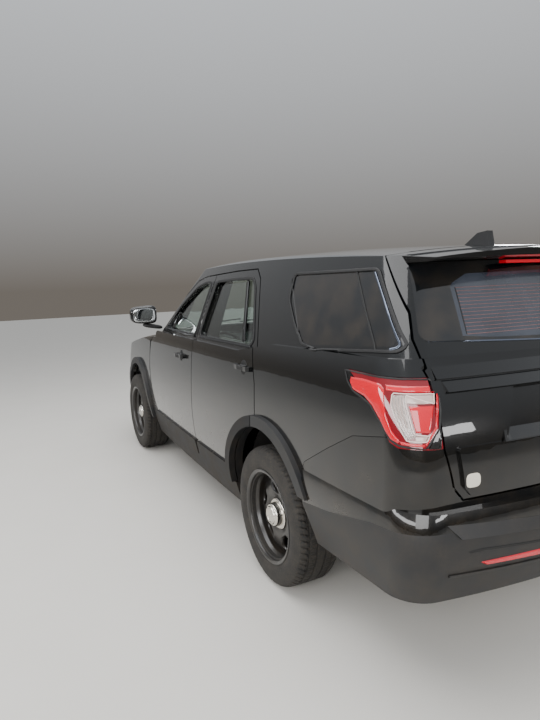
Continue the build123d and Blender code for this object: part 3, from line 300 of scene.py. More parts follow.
def make_materials(finish):
    """One material for each finish, keyed by a short name that SLOT_FINISH and NODE_FINISH share."""
    dust, amount, clear_coat = finish.dust, finish.dust_amount, {"Coat IOR": 1.5, "Coat Roughness": 0.02}
    MATERIALS.update(
        # Two-coat body paint: black base under glossy clear coat, with faint orange peel 6 mm wide
        paint=material_of(
            "clear_coated_black_paint",
            {"IOR": 1.5, "Specular IOR Level": 0.12, "Coat Weight": 1.0, **clear_coat},
            finish.paint, dust=(dust, amount, 0.22), grain=(0.02, 0.25, "Noise", 6, {"Detail": 1}),
        ),
        paint_low=paint_over_cladding(finish),
        # Injection-moulded cladding: fine leather-like grain, drawn 2 mm wide so that it shows
        cladding=material_of(
            "grained_black_polypropylene", {"IOR": 1.49}, finish.plastic,
            dust=(dust, amount, 0.5, 0.75, 1.0), grain=(0.15, 0.35, "Voronoi", 2.0),
        ),
        # Stamped steel wheel under black enamel, with brake dust in the dish
        enamel=material_of(
            "black_enamelled_steel", {"IOR": 1.5, "Coat Weight": 0.4, "Coat Roughness": 0.2},
            linear("#0B0B0C"), dust=(dust, amount * 0.8, 0.32, 0.75, 1.2, 0.0), grain=(0.05, 0.3, "Noise", 3),
        ),
        # Pressed and plated cap: bright, with wiping haze 25 mm wide
        chrome=material_of(
            "chrome_plated_steel", {"Metallic": 1.0}, linear("#D8D4CC"), rough=(25, 4, 0.3, 0.8, 0.06, 0.28)
        ),
        # Vulcanised rubber, dull, with brown bloom in patches 60 mm wide under road grit
        rubber=material_of(
            "vulcanised_tyre_rubber", {"IOR": 1.52, "Roughness": 0.82}, linear("#131313"),
            [(linear("#2A2723"), 60, 5, 0.3, 0.75), (dust, 9, 4, 0.45, 0.8, 0.0, amount * 0.6)],
            grain=(0.12, 0.5, "Noise", 2.5),
        ),
        # Float glass with a faint green body tint
        clear_glass=material_of(
            "clear_toughened_glass", {"Roughness": 0.0, "IOR": 1.45, "Transmission Weight": 1.0},
            linear("#DCE8E2"),
        ),
        # Deep-dyed glass: nearly opaque from outside, with wiping haze
        dark_glass=material_of(
            "dyed_privacy_glass",
            {"IOR": 1.52, "Transmission Weight": 0.25, "Coat Weight": 0.5, "Coat Roughness": 0.02},
            finish.tint, [(dust, 120, 5, 0.4, 0.8, 0.0, 0.12)], (40, 3, 0.4, 0.8, 0.02, 0.1),
        ),
        # The rear glass's see-through middle: painted light makes it a paler blue grey than its black border;
        # haze roughens it
        heated_glass=material_of(
            "heated_glass_painted_paler", {"IOR": 1.52, "Coat Weight": 0.6, "Coat Roughness": 0.04}, linear("#1B2029"),
            [(linear("#4A4F5A"), 160, 5, 0.3, 0.75, 0.1, 0.5)], (50, 4, 0.3, 0.8, 0.12, 0.3),
        ),
        # Wrapped steering wheel rim: pebbled grain 3 mm wide, worn smoother in patches 60 mm wide
        leather=material_of(
            "pebbled_black_leather", {}, linear("#141415"), rough=(60, 3, 0.3, 0.7, 0.35, 0.6),
            grain=(0.3, 0.5, "Noise", 3),
        ),
        # Sprayed chassis coating, matt and dusty
        undercoat=material_of(
            "sprayed_undercoat", {"IOR": 1.5}, linear("#1C1B1A"), dust=(dust, 0.6, 0.75, 0.75, 0.9, 0.1),
            grain=(0.6, 0.6, "Noise", 5, {"Detail": 3}),
        ),
        # Mirror glass: a clean silver film
        mirror=material_of("silvered_glass", {"Metallic": 1.0, "Roughness": 0.02}, linear("#E6EAEC")),
        cloth=woven_cloth(finish),
        # Lenses: the opaque reds and the flutes show their colour, the others let the lamp behind show
        red_lens=lens("red_acrylic_lens", finish.lens, 0.0),
        deep_lens=lens("deep_red_acrylic_lens", linear("#7A0716"), 0.1),
        amber_lens=lens("amber_acrylic_lens", linear("#C85A10"), 0.2, 120),
        clear_lens=lens("clear_acrylic_lens", linear("#E8E6E2"), 0.85),
        bright_flutes=lens("fluted_clear_acrylic", linear("#C4AFA8"), 0.1, 100),
        # Plastics: seals and dash dull, trim glossy like paint, frost and the heater's paste half dull
        seal=plastic("extruded_rubber_seal", "#0C0C0D", 0.6),
        gloss_trim=plastic("gloss_black_abs", "#08090A", 0.12),
        trim=plastic("moulded_dash_plastic", "#1A1B1D", 0.6, (0.1, 0.4, "Noise", 3.0)),
        frost=plastic("frosted_acrylic", "#DCCBC4", 0.3),
        sticker=plastic("off_white_vinyl", "#DAD4C4", 0.5),
        heater_line=plastic("fired_silver_paste", "#7C524E", 0.45),
        # Metals: cast iron grey and dull, the exhaust warmer, the trim's plating dark and nearly a mirror
        iron=metal("sand_cast_iron", "#6D6A66", 0.7, 20),
        steel=metal("rolled_stainless_steel", "#A49B8E", 0.45, 40),
        dark_chrome=metal("dark_chrome_plating", "#6F7684", 0.18, 60),
    )


SLOT_FINISH = {
    "body_paint": "paint", "moulding": "cladding", "undercoat": "undercoat", "cast_metal": "iron",
    "exhaust_steel": "steel", "window_clear": "clear_glass", "window_dark": "dark_glass",
    "lamp_red": "red_lens", "lamp_clear": "clear_lens", "trim_plastic": "trim", "seat_cloth": "cloth",
    "tyre": "rubber", "wheel_paint": "enamel",
}
# Nodes whose finish isn't their slot's
NODE_FINISH = {"tail_lamps": "deep_lens", "steering_wheel": "leather"}
for panel in ("door_front", "door_rear", "body_side"):
    NODE_FINISH |= {f"{panel}_{side}": "paint_low" for side in SIDES}


# Shape helpers. A part is an array of points in millimetres and a list of arrays of faces, as corner numbers


def around(count):
    """Angles evenly round a circle, in radians."""
    return np.linspace(0, tau, count, endpoint=False)


def grid_faces(rows, columns, wrap_rows=False, wrap_columns=False):
    """Quads between the neighbours of a rows by columns grid of points, closed round where asked."""
    r, c = np.meshgrid(
        np.arange(rows - (not wrap_rows)), np.arange(columns - (not wrap_columns)), indexing="ij"
    )
    down, along = (r + 1) % rows, (c + 1) % columns
    corners = [r * columns + c, r * columns + along, down * columns + along, down * columns + c]
    return np.stack(corners, axis=-1).reshape(-1, 4)


def surface(points, wrap_rows=False, wrap_columns=False, cap=False):
    """A grid of points with its faces. cap closes the first and last row with one face each."""
    rows, columns = points.shape[:2]
    faces = [grid_faces(rows, columns, wrap_rows, wrap_columns)]
    if cap:
        end = np.arange(columns)
        faces.append(np.stack([end[::-1], end + (rows - 1) * columns]))
    return points.reshape(-1, 3), faces


def turned(profile, centre, side, count, swell=None):
    """A closed (radius, outboard) outline turned about the wheel's axle: x and z are the radius times the
    angle's cosine and sine, y the outboard offset. swell(radius, offset, angle) adds to the radius."""
    angle = around(count)[:, None]
    radius, offset = (np.repeat(profile[None, :, k], count, axis=0) for k in (0, 1))
    if swell is not None:
        radius = radius + swell(radius, offset, angle)
    points = np.stack([radius * np.cos(angle), side * offset, radius * np.sin(angle)], axis=-1)
    return surface(points + np.array(centre), wrap_rows=True, wrap_columns=True)


def rounded(corners, radius, steps=5, closed=True):
    """An outline whose corners are quadratic curves, drawn towards the corner from points a radius away on
    both sides, or 0.49 of the shorter side where that is less. An open line keeps its ends."""
    corners = np.asarray(corners, float)
    before, after = (np.roll(corners, shift, axis=0) - corners for shift in (1, -1))
    lengths = np.linalg.norm([before, after], axis=2)[..., None]
    reach = np.minimum(radius, 0.49 * lengths.min(axis=0))
    first, last = corners + before / lengths[0] * reach, corners + after / lengths[1] * reach
    t = np.linspace(0, 1, steps)[:, None]
    curves = (1 - t) ** 2 * first[:, None] + 2 * t * (1 - t) * corners[:, None] + t**2 * last[:, None]
    if closed:
        return curves.reshape(-1, 2)
    return np.concatenate([corners[:1], curves[1:-1].reshape(-1, 2), corners[-1:]])


def resampled(line, count, closed=False):
    """Evenly spaced points along a line, by its length."""
    line = np.asarray(line, float)
    if closed:
        line = np.concatenate([line, line[:1]])
    run = np.concatenate([[0], np.cumsum(np.linalg.norm(np.diff(line, axis=0), axis=1))])
    at = np.linspace(0, run[-1], count, endpoint=not closed)
    return np.stack([np.interp(at, run, line[:, k]) for k in range(line.shape[1])], axis=-1)


def across(*half):
    """A line from side to side: its half from the left end inwards, the middle point last, and the mirror
    image of that half before it."""
    return [(-right, up) for right, up in half] + list(half[-2::-1])


def circle(centre, radius, count=40):
    """Points evenly round a circle."""
    angle = around(count)
    return np.stack([centre[0] + radius * np.cos(angle), centre[1] + radius * np.sin(angle)], axis=-1)


def swept(path, out, profile, closed=False):
    """A profile of (across, out) offsets carried along a path: across is the path's direction crossed
    with the outward direction."""
    path, out = np.asarray(path, float), np.broadcast_to(np.asarray(out, float), np.shape(path))
    ahead = np.gradient(path, axis=0)
    if closed:
        ahead = np.roll(path, -1, axis=0) - np.roll(path, 1, axis=0)
    ahead = ahead / np.linalg.norm(ahead, axis=1, keepdims=True)
    sideways = np.cross(ahead, out)
    sideways = sideways / np.linalg.norm(sideways, axis=1, keepdims=True)
    up = np.cross(sideways, ahead)
    points = path[:, None] + profile[None, :, :1] * sideways[:, None] + profile[None, :, 1:] * up[:, None]
    return surface(points, wrap_rows=closed, wrap_columns=True, cap=not closed)


def bar_profile(width, depth, edge):
    """A rectangle with rounded edges, centred across and standing on zero."""
    half = width / 2
    return rounded([(-half, 0), (half, 0), (half, depth), (-half, depth)], edge, 4)


def mirrored(part):
    """The same part on the vehicle's other side."""
    points, faces = part
    return points * np.array([1, -1, 1]), [block_faces[:, ::-1] for block_faces in faces]


# How each view looks at the vehicle: right, up and outward directions
VIEWS = {
    "left": ((1, 0, 0), (0, 0, 1), (0, 1, 0)),
    "rear": ((0, 1, 0), (0, 0, 1), (-1, 0, 0)),
    "front": ((0, 1, 0), (0, 0, 1), (1, 0, 0)),
    "corner": ((-1, -1, 0), (0, 0, 1), (-1, 1, 0)),
    "top": ((1, 0, 0), (0, 1, 0), (0, 0, 1)),
}


class Skin:
    """The outermost surface of some CAD nodes, seen from a named view. A point over it is given by its
    right and up offsets. Each triangle's shadow that holds the point gives a height by the point's
    barycentric weights, and the greatest is kept."""

    SLIVER = 1e-6  # mm2, a triangle seen edge on
    SLACK = 1e-4  # share by which a point may lie outside a triangle
    STEEPEST = 3.0  # greatest slope that a normal follows

    def __init__(self, view, *names):
        self.axes = np.array(VIEWS[view], float)
        self.axes /= np.linalg.norm(self.axes, axis=1, keepdims=True)
        corners = []
        for name in names:
            mesh = NODES[name].data
            mesh.calc_loop_triangles()
            place = np.empty(len(mesh.vertices) * 3)
            mesh.vertices.foreach_get("co", place)
            numbers = np.empty(len(mesh.loop_triangles) * 3, int)
            mesh.loop_triangles.foreach_get("vertices", numbers)
            corners.append(place.reshape(-1, 3)[numbers].reshape(-1, 3, 3) / MM)
        self.corners = np.concatenate(corners) @ self.axes.T

    def height(self, right, up):
        """The surface's height over each point, or the nearest triangle's where no shadow holds it."""
        first = self.corners[:, 0]
        one, two = self.corners[:, 1] - first, self.corners[:, 2] - first
        a, b = np.ravel(right)[:, None] - first[:, 0], np.ravel(up)[:, None] - first[:, 1]
        area = one[:, 0] * two[:, 1] - one[:, 1] * two[:, 0]
        flat = np.abs(area) < self.SLIVER
        area = np.where(flat, 1, area)
        u, v = (a * two[:, 1] - b * two[:, 0]) / area, (one[:, 0] * b - one[:, 1] * a) / area
        inside = (u >= -self.SLACK) & (v >= -self.SLACK) & (u + v <= 1 + self.SLACK) & ~flat
        best = np.where(inside, first[:, 2] + u * one[:, 2] + v * two[:, 2], -np.inf).max(axis=1)
        missed = ~np.isfinite(best)
        if missed.any():
            middle = self.corners.mean(axis=1) - first
            apart = (a[missed] - middle[:, 0]) ** 2 + (b[missed] - middle[:, 1]) ** 2
            best[missed] = (middle + first)[apart.argmin(axis=1), 2]
        return best.reshape(np.shape(right))

    def place(self, right, up, lift=0.0):
        """Points on the surface, moved out by lift along the viewing direction."""
        return np.stack([right, up, self.height(right, up) + lift], axis=-1) @ self.axes

    def normal(self, right, up, reach=6.0):
        """Outward directions, from the height's slope over a reach of a few millimetres."""
        slopes = [
            (self.height(right + x, up + y) - self.height(right - x, up - y)) / (2 * reach)
            for x, y in ((reach, 0), (0, reach))
        ]
        slopes = [np.clip(slope, -self.STEEPEST, self.STEEPEST) for slope in slopes]
        local = np.stack([-slopes[0], -slopes[1], np.ones_like(slopes[0])], axis=-1)
        return local / np.linalg.norm(local, axis=-1, keepdims=True) @ self.axes


def sandwich(top, under):
    """A closed shell of two grids of the same shape, joined round their border."""
    rows, columns = top.shape[:2]
    count = rows * columns
    upper = grid_faces(rows, columns)
    corner = np.arange(count).reshape(rows, columns)
    ring = np.concatenate([corner[0], corner[1:, -1], corner[-1, -2::-1], corner[-2:0:-1, 0]])
    ahead = np.roll(ring, -1)
    wall = np.stack([ahead, ring, ring + count, ahead + count], axis=-1)
    points = np.concatenate([top.reshape(-1, 3), under.reshape(-1, 3)])
    return points, [upper, upper[:, ::-1] + count, wall]


def slab(skin, first_edge, second_edge, rows, columns, lift, edge=4.0):
    """A thin closed plate over the skin between two edges: the top lies lift above the skin and falls in a
    quarter round of the edge width to the skin at the border. The underside is 2 mm under the skin."""
    first, second = resampled(first_edge, columns), resampled(second_edge, columns)
    t = np.linspace(0, 1, rows)[:, None, None]
    flat = first[None] * (1 - t) + second[None] * t
    inwards = np.linalg.norm(second - first, axis=1)[None] * np.minimum(t, 1 - t)[..., 0]
    run = np.linalg.norm(np.gradient(flat, axis=1), axis=-1).cumsum(axis=1)
    ends = np.minimum(run - run[:, :1], run[:, -1:] - run)
    near = np.clip(np.minimum(inwards, ends) / edge, 0, 1)
    rise = lift * np.sqrt(np.clip(1 - (1 - near) ** 2, 0, 1))
    return sandwich(*(skin.place(flat[..., 0], flat[..., 1], height) for height in (rise, -2.0)))


def ruled(skin, first_edge, second_edge, columns, lifts, depth, rows=6):
    """A closed plate whose top runs straight from one edge to the other: each edge is dropped on the skin
    and raised by its own lift, and the points between are their weighted means. The underside lies a depth
    further in."""
    first, second = (
        skin.place(*resampled(edge, columns).T, lift) for edge, lift in zip((first_edge, second_edge), lifts)
    )
    t = np.linspace(0, 1, rows)[:, None, None]
    top = first[None] * (1 - t) + second[None] * t
    return sandwich(top, top - depth * skin.axes[2])


def bead(skin, line, width, height, closed=False, lift=0.0, step=12.0):
    """A rounded strip laid on the skin along a line: the line is taken at even steps, dropped on the skin,
    and a rounded bar is carried along it, standing on the skin's own slope."""
    line = np.asarray(line, float)
    ends = np.concatenate([line, line[:1]]) if closed else line
    length = np.linalg.norm(np.diff(ends, axis=0), axis=1).sum()
    right, up = resampled(line, max(int(length / step), 6), closed).T
    profile = bar_profile(width, height, min(width, height) * 0.4)
    return swept(skin.place(right, up, lift), skin.normal(right, up), profile, closed)


def grown(line, amount, step=14.0):
    """A closed outline moved out by an amount: even points along it step outwards at right angles to the
    chord of their neighbours."""
    length = np.linalg.norm(line - np.roll(line, 1, axis=0), axis=1).sum()
    line = resampled(line, int(length / step), True)
    ahead = np.roll(line, -1, axis=0)
    chord = ahead - np.roll(line, 1, axis=0)
    out = np.stack([chord[:, 1], -chord[:, 0]], axis=-1) / np.linalg.norm(chord, axis=1, keepdims=True)
    turning = (line[:, 0] * ahead[:, 1] - ahead[:, 0] * line[:, 1]).sum()
    return line + out * amount * np.sign(turning)


def eased(value, power):
    """A superellipse's cosine or sine: its size to 2 over the power, with its own sign."""
    return np.sign(value) * np.abs(value) ** (2 / power)


def oval_edges(centre, half_width, half_height, power=2.0, count=33):
    """The upper and lower halves of a superellipse."""
    angle = np.linspace(tau / 2, 0, count)
    right = centre[0] + half_width * eased(np.cos(angle), power)
    rise = half_height * np.abs(np.sin(angle)) ** (2 / power)
    return np.stack([right, centre[1] + rise], axis=-1), np.stack([right, centre[1] - rise], axis=-1)


def block(centre, half, power=(4.0, 4.0), rows=33, columns=64, shape=None):
    """A superellipsoid: the products of the eased cosines and sines of two angles, times the half sizes.
    shape(unit points) changes the unit points before they are scaled."""
    rise, turn = np.linspace(-tau / 4, tau / 4, rows)[:, None], around(columns)[None]
    flat = eased(np.cos(rise), power[1])
    unit = [flat * eased(np.cos(turn), power[0]), flat * eased(np.sin(turn), power[0])]
    unit = np.stack([*unit, eased(np.sin(rise), power[1]) * np.ones_like(turn)], axis=-1)
    if shape is not None:
        shape(unit)
    return surface(unit * np.array(half) + np.array(centre), wrap_columns=True)


def make_piece(name, parts, body, replaces=()):
    """One object of several (finish, part) pairs, riding on a body, with every closed shell's faces turned
    outwards and its edges sharp from 35 degrees."""
    finishes = list(dict.fromkeys(finish for finish, _ in parts))
    points, faces, slots, start = [], [], [], 0
    for finish, (part_points, part_faces) in parts:
        points.append(part_points)
        for corners in part_faces:
            faces += (corners + start).tolist()
            slots += [finishes.index(finish)] * len(corners)
        start += len(part_points)
    mesh = bpy.data.meshes.new(name)
    mesh.from_pydata((np.concatenate(points) * MM).tolist(), [], faces)
    for finish in finishes:
        mesh.materials.append(MATERIALS[finish])
    mesh.polygons.foreach_set("material_index", slots)
    mesh.polygons.foreach_set("use_smooth", [True] * len(faces))
    mesh.update()
    work = bmesh.new()
    work.from_mesh(mesh)
    bmesh.ops.remove_doubles(work, verts=work.verts, dist=1e-5)
    bmesh.ops.recalc_face_normals(work, faces=work.faces)
    work.to_mesh(mesh)
    work.free()
    mesh.set_sharp_from_angle(angle=radians(35))
    piece = bpy.data.objects.new(name, mesh)
    bpy.context.scene.collection.objects.link(piece)
    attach(piece, body)
    if replaces:
        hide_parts(*replaces)
    return piece


def make_pair(name, parts, body, replaces=()):
    """The same piece on both sides, given for the left. Each {} in a name becomes left or right."""
    for side in SIDES:
        make_piece(name.format(side), parts, body.format(side), [node.format(side) for node in replaces])
        parts = [(finish, mirrored(part)) for finish, part in parts]


# Wheels: outlines are (radius, outboard) from the wheel's middle plane

RIM_BARREL = [
    (246, -114), (246, -108), (229, -100), (226, -60), (214, -40), (214, 50), (227, 72), (229, 99), (246, 107),
    (248, 113), (242, 116), (226, 110), (221, 78), (208, 56), (208, -44), (220, -66), (223, -106),
]
# The pressed disc: radii and how far it stands outboard there, its hub and rim radii and its sheet
DISC_HEIGHT = [0, 70, 84, 100, 126, 150, 176, 196, 211], [40, 40, 42, 50, 53, 52, 44, 30, 24]
DISC_HUB, DISC_RIM, DISC_SHEET = 60, 211, 5.0
DISC_WINDOWS = 5
TYRE_CARCASS = [
    (224, 99), (230, 104), (246, 110), (262, 117), (280, 121.5), (298, 122.5), (316, 120.5), (332, 115),
    (341, 112.5), (348, 108), (355, 100), (359.6, 90),
]
TYRE_RADIUS = 363.5
# The grooves round the tyre: middle and width
TYRE_GROOVES = ((66, 10), (24, 9))


def rim_parts(centre, side, settings):
    """A stamped steel wheel: the rolled barrel, the dished disc with its windows, and the bright cap."""
    flange, cup, face = settings.cap_flange, settings.cap_radius, settings.cap_face
    flange_outline = rounded([(56, 44), (flange, 44), (flange + 2, 49), (flange - 6, 53), (56, 53)], 2, 3)
    cup_outline = rounded(
        [
            (0.01, 46), (cup + 4, 46), (cup + 3, 56), (cup, face - 14), (cup - 5, face - 8),
            (cup - 13, face - 7), (cup - 15, face), (cup - 22, face + 1), (cup - 26, face - 3),
            (0.01, face - 3),
        ],
        3, 4,
    )
    parts = [("enamel", turned(rounded(RIM_BARREL, 6, 4), centre, side, 96))]
    for window in range(DISC_WINDOWS):
        middle = tau / 4 + tau / DISC_WINDOWS * window
        parts.append(("enamel", disc_sector(centre, side, middle)))
    return parts + [("chrome", turned(outline, centre, side, 64)) for outline in (flange_outline, cup_outline)]


def disc_sector(centre, side, middle):
    """One sector of the disc about a middle angle: rings run from the window's superelliptic outline to the
    sector's border, and the pressing turns in at the window's edge by a quarter round."""
    count, rings, power = 64, 9, 2.6
    window_mid, window_half, window_turn = 158, 33, radians(21)
    angle = around(count) + tau / 8
    unit = np.stack([np.cos(angle), np.sin(angle)])
    squircle = unit / (np.abs(unit) ** power).sum(axis=0) ** (1 / power)
    square = unit / np.abs(unit).max(axis=0)
    window_radius = window_mid + window_half * squircle[0]
    window_angle = window_turn * squircle[1] * (0.82 + 0.18 * squircle[0])
    border_radius = (DISC_RIM + DISC_HUB) / 2 + (DISC_RIM - DISC_HUB) / 2 * square[0]
    border_angle = tau / DISC_WINDOWS / 2 * square[1]
    t = np.linspace(0, 1, rings)[:, None] ** 1.5
    radius = window_radius * (1 - t) + border_radius * t
    turn = window_angle * (1 - t) + border_angle * t + middle
    lip = 9 * (1 - np.clip(t * 8, 0, 1)) ** 2
    ridge = 2.5 * np.exp(-(((t - 0.16) / 0.1) ** 2))
    outboard = np.interp(radius, *DISC_HEIGHT) - lip + ridge
    front, back = (
        np.stack([radius * np.cos(turn), side * (outboard - inward), radius * np.sin(turn)], axis=-1)
        for inward in (0.0, DISC_SHEET)
    )
    loop = np.concatenate([front, back[::-1]])
    return surface(loop + np.array(centre), wrap_rows=True, wrap_columns=True)


def tyre_part(centre, side, settings):
    """A road tyre: the carcass outline turned about the axle, with tread cut into the crown. The crown falls
    4 mm by 118 mm from the middle, as the square of the offset."""
    crown = [84, 80]
    for middle, width in TYRE_GROOVES:
        crown += [middle + sign * width / 2 + slope for sign in (1, -1) for slope in (2, 0, -2)]
    crown = np.array([*crown, 12, 6])
    outboard = np.concatenate([TYRE_CARCASS, np.stack([TYRE_RADIUS - (crown / 118) ** 2 * 4, crown], axis=-1)])
    bead_seat = [[218, -95], [218, 95]]
    profile = np.concatenate([outboard, [[TYRE_RADIUS, 0]], outboard[::-1] * np.array([1, -1]), bead_seat])
    pitch = tau / settings.tread_pitches

    def cut(radius, offset, angle):
        """Grooves round the crown, slots across the shoulders, sipes in the ribs, and serrated sidewalls."""
        width = np.abs(offset)
        ring = np.zeros_like(offset)
        for middle, groove_width in TYRE_GROOVES:
            ring = np.maximum(ring, np.clip((groove_width / 2 + 0.5 - np.abs(width - middle)) / 1.5, 0, 1))
        wave = np.abs(((angle + offset * 0.0012 * np.sign(offset)) / pitch) % 1 - 0.5) * 2
        slots = np.where((width > 71.5) & (width < 112) & (wave > 0.78), 1.0, 0.0)
        sipes = np.where((width > 29) & (width < 60) & (wave < 0.12), 0.6, 0.0)
        serration = np.where((radius > 335) & (radius < 352) & (wave > 0.5), 0.9, 0.0)
        crown_zone = np.clip((radius - 352) / 4, 0, 1)
        return -settings.tread_depth * crown_zone * np.maximum(ring, np.maximum(slots, sipes)) - serration

    return turned(profile, centre, side, settings.tread_pitches * 8, cut)


class VEHICLE_OT_wheels(Operator):
    """Builds the four stamped steel wheels and their tyres"""

    bl_idname = "vehicle.wheels"
    bl_label = "Wheels and tyres"

    def execute(self, context):
        settings = context.scene.vehicle_wheels
        for corner in ("front_left", "front_right", "rear_left", "rear_right"):
            low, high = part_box(f"tyre_{corner}")
            centre = [(a + b) / 2 / MM for a, b in zip(low, high)]
            side, body = (1 if centre[1] > 0 else -1), f"wheel_{corner}"
            rim = rim_parts(centre, side, settings)
            tyre = [("rubber", tyre_part(centre, side, settings))]
            make_piece(f"steel_wheel_{corner}", rim, body, [f"rim_{corner}"])
            make_piece(f"road_tyre_{corner}", tyre, body, [f"tyre_{corner}"])
        return {"FINISHED"}


# Tail lamp outlines (right offset, z) seen square on to the vehicle's corner
LAMP_OUTLINE = [
    (746, 1217), (927, 1216), (1073, 1212), (1099, 1193), (1109, 1113), (1107, 1051), (1066, 989), (975, 993),
    (940, 1010), (900, 1065), (862, 1113), (824, 1131), (785, 1146), (760, 1176),
]
# Finish, lift, first edge and second edge of each lens
LAMP_PLATES = [
    (
        "red_lens", 4.0,
        [
            (773, 1196), (830, 1199), (900, 1193), (914, 1178), (917, 1130), (924, 1090), (947, 1040),
            (976, 1010),
        ],
        [
            (768, 1180), (782, 1152), (835, 1137), (868, 1110), (896, 1074), (923, 1032), (943, 1010),
            (970, 1001),
        ],
    ),
    ("red_lens", 4.0, [(919, 1193), (990, 1193), (1087, 1191)], [(922, 1174), (990, 1172), (1091, 1170)]),
    ("red_lens", 4.5, [(1004, 1127), (1087, 1127)], [(1030, 1042), (1078, 1041)]),
    ("bright_flutes", 5.0, [(989, 1164), (1087, 1164)], [(993, 1134), (1087, 1134)]),
    ("bright_flutes", 5.0, [(1022, 1031), (1073, 1031)], [(1031, 1012), (1062, 1012)]),
    (
        "red_lens", 3.5, [(1093, 1184), (1095, 1113), (1093, 1058), (1062, 1004)],
        [(1099, 1182), (1103, 1113), (1101, 1056), (1067, 998)],
    ),
    ("red_lens", 3.0, [(976, 1008), (1017, 1006), (1062, 1004)], [(981, 998), (1019, 996), (1060, 995)]),
]
LAMP_BAND = (
    [(946, 1161), (943, 1128), (960, 1083), (981, 1043), (1001, 1013)],
    [(992, 1163), (995, 1131), (1004, 1103), (1023, 1043), (1031, 1030)],
)


class VEHICLE_OT_tail_lamps(Operator):
    """Lays the lenses, the ribbed light guide and the gasket over both tail lamps"""

    bl_idname = "vehicle.tail_lamps"
    bl_label = "Tail lamps"

    def execute(self, context):
        skin = Skin("corner", "tail_lamps", "body_side_left")
        parts = [(finish, slab(skin, *edges, 14, 40, lift, 6)) for finish, lift, *edges in LAMP_PLATES]
        outer, inner = (resampled(edge, 40) for edge in LAMP_BAND)
        parts.append(("bright_flutes", slab(skin, outer, inner, 12, 40, 2.5, 5)))
        for share in np.linspace(0.08, 0.92, context.scene.vehicle_lamps.ribs):
            parts.append(("clear_lens", bead(skin, outer * (1 - share) + inner * share, 4.5, 3.5, lift=2.0)))
        foot = [(1031, 1012), (1067, 1012), (1075, 1031), (1026, 1036)]
        guide = np.concatenate([outer, foot, inner[::-1][3:], [(1087, 1133), (1087, 1166), (950, 1167)]])
        lamp, cap = Skin("corner", "tail_lamps"), ([(1103, 1052), (1071, 987)], [(1116, 1050), (1114, 986)])
        parts += [
            ("frost", bead(skin, guide, 4, 4.5, closed=True, lift=1.0, step=8)),
            ("seal", bead(skin, LAMP_OUTLINE, 7, 3, closed=True, step=10)),
            ("paint", slab(lamp, *cap, 10, 20, 5, 3)),
        ]
        make_pair("tail_lamp_lenses_{}", parts, "body")
        return {"FINISHED"}


# Relief across the gate: its edges' lifts, the plate's depth, the first edge and the second
GATE_PLATES = [
    ((0.3, 11), 14, across((772, 1252), (0, 1254)), across((770, 1212), (0, 1213))),
    ((1, 15), 18, across((748, 1204), (0, 1205)), across((742, 1168), (0, 1169))),
    ((0.5, 1.5), 8, across((548, 1018), (0, 1018)), across((562, 983), (0, 983))),
]


class VEHICLE_OT_gate_bar(Operator):
    """Adds the gate's shoulder, cross bar and ledge, and the seam over the bar"""

    bl_idname = "vehicle.gate_bar"
    bl_label = "Gate cross bar"

    def execute(self, context):
        skin = Skin("rear", "liftgate", "liftgate_glass")
        parts = [("paint", ruled(skin, *edges, 90, lifts, depth)) for lifts, depth, *edges in GATE_PLATES]
        seam = bead(skin, across((765, 1208), (0, 1209)), 5, 1.5)
        make_piece("gate_cross_bar", [*parts, ("seal", seam)], "liftgate")
        return {"FINISHED"}


class VEHICLE_OT_rear_glass(Operator):
    """Adds the rear glass's see-through middle, its heater lines with their end strips, and its foot strip"""

    bl_idname = "vehicle.rear_glass"
    bl_label = "Rear glass heater"

    def execute(self, context):
        skin = Skin("rear", "liftgate", "liftgate_glass")
        top = across((560, 1536), (468, 1577), (0, 1584))
        foot = across((584, 1347), (448, 1335), (0, 1320))
        # The see-through middle's paler blue grey is painted light
        parts = [("heated_glass", slab(skin, top, foot, 30, 60, 0.9, 3))]
        for z in np.linspace(1352, 1524, context.scene.vehicle_lamps.heater_lines):
            reach = np.interp(z, [1329, 1536], [566, 540])
            line = bead(skin, across((reach, z), (0, z + 2)), 1.6, 0.8, lift=0.7, step=30)
            parts.append(("heater_line", line))
        for s in (-1, 1):
            parts.append(("seal", bead(skin, [(s * 564, 1352), (s * 541, 1525)], 5, 0.8, lift=0.7, step=20)))
        parts.append(("dark_chrome", bead(skin, across((738, 1335), (0, 1302)), 7, 3)))
        make_piece("rear_glass_heater", parts, "liftgate")
        return {"FINISHED"}


class VEHICLE_OT_sticker(Operator):
    """Adds the blank patch in the gate's lower corner"""

    bl_idname = "vehicle.sticker"
    bl_label = "Blank sticker"

    def execute(self, context):
        skin = Skin("rear", "liftgate", "liftgate_glass")
        patch = slab(skin, *oval_edges((708, 868), 29, 25, 3.5), 12, 33, 0.8, 2)
        make_piece("blank_sticker", [("sticker", patch)], "liftgate")
        return {"FINISHED"}


# Window outlines (x, z), as the doors and the body side have them
FRONT_WINDOW = [(620, 1238), (369, 1416), (105, 1545), (-50, 1574), (-178, 1578), (-118, 1238)]
REAR_WINDOW = [
    (-300, 1578), (-600, 1588), (-862, 1590), (-915, 1545), (-1062, 1262), (-1035, 1238), (-232, 1238),
]
QUARTER_RING = [
    (-1338, 1606), (-1978, 1606), (-2075, 1490), (-2160, 1385), (-2212, 1325), (-2195, 1303), (-2060, 1294),
    (-1690, 1268), (-1560, 1284), (-1450, 1375), (-1350, 1480),
]
QUARTER_STRIP = [(-1962, 1592), (-2064, 1480), (-2148, 1378), (-2198, 1318), (-2160, 1308)]


def window_trim(skin, door, window, belt, *pillar):
    """A door's window seal round its opening, its belt moulding and its pillar cover between two edges."""
    seal = bead(Skin("left", door), grown(rounded(window, 24), 9), 17, 4, closed=True)
    cover = slab(skin, *pillar, 8, 40, 2, 3)
    return [("seal", seal), ("gloss_trim", bead(skin, belt, 16, 8)), ("gloss_trim", cover)]


def handle_hollow_shade(skin, *centre):
    """Painted shade of the round hollow behind a door handle: a dark disc laid on the skin over the hollow."""
    return "seal", slab(skin, *oval_edges(centre, 40, 40), 18, 33, 1.2, 8)


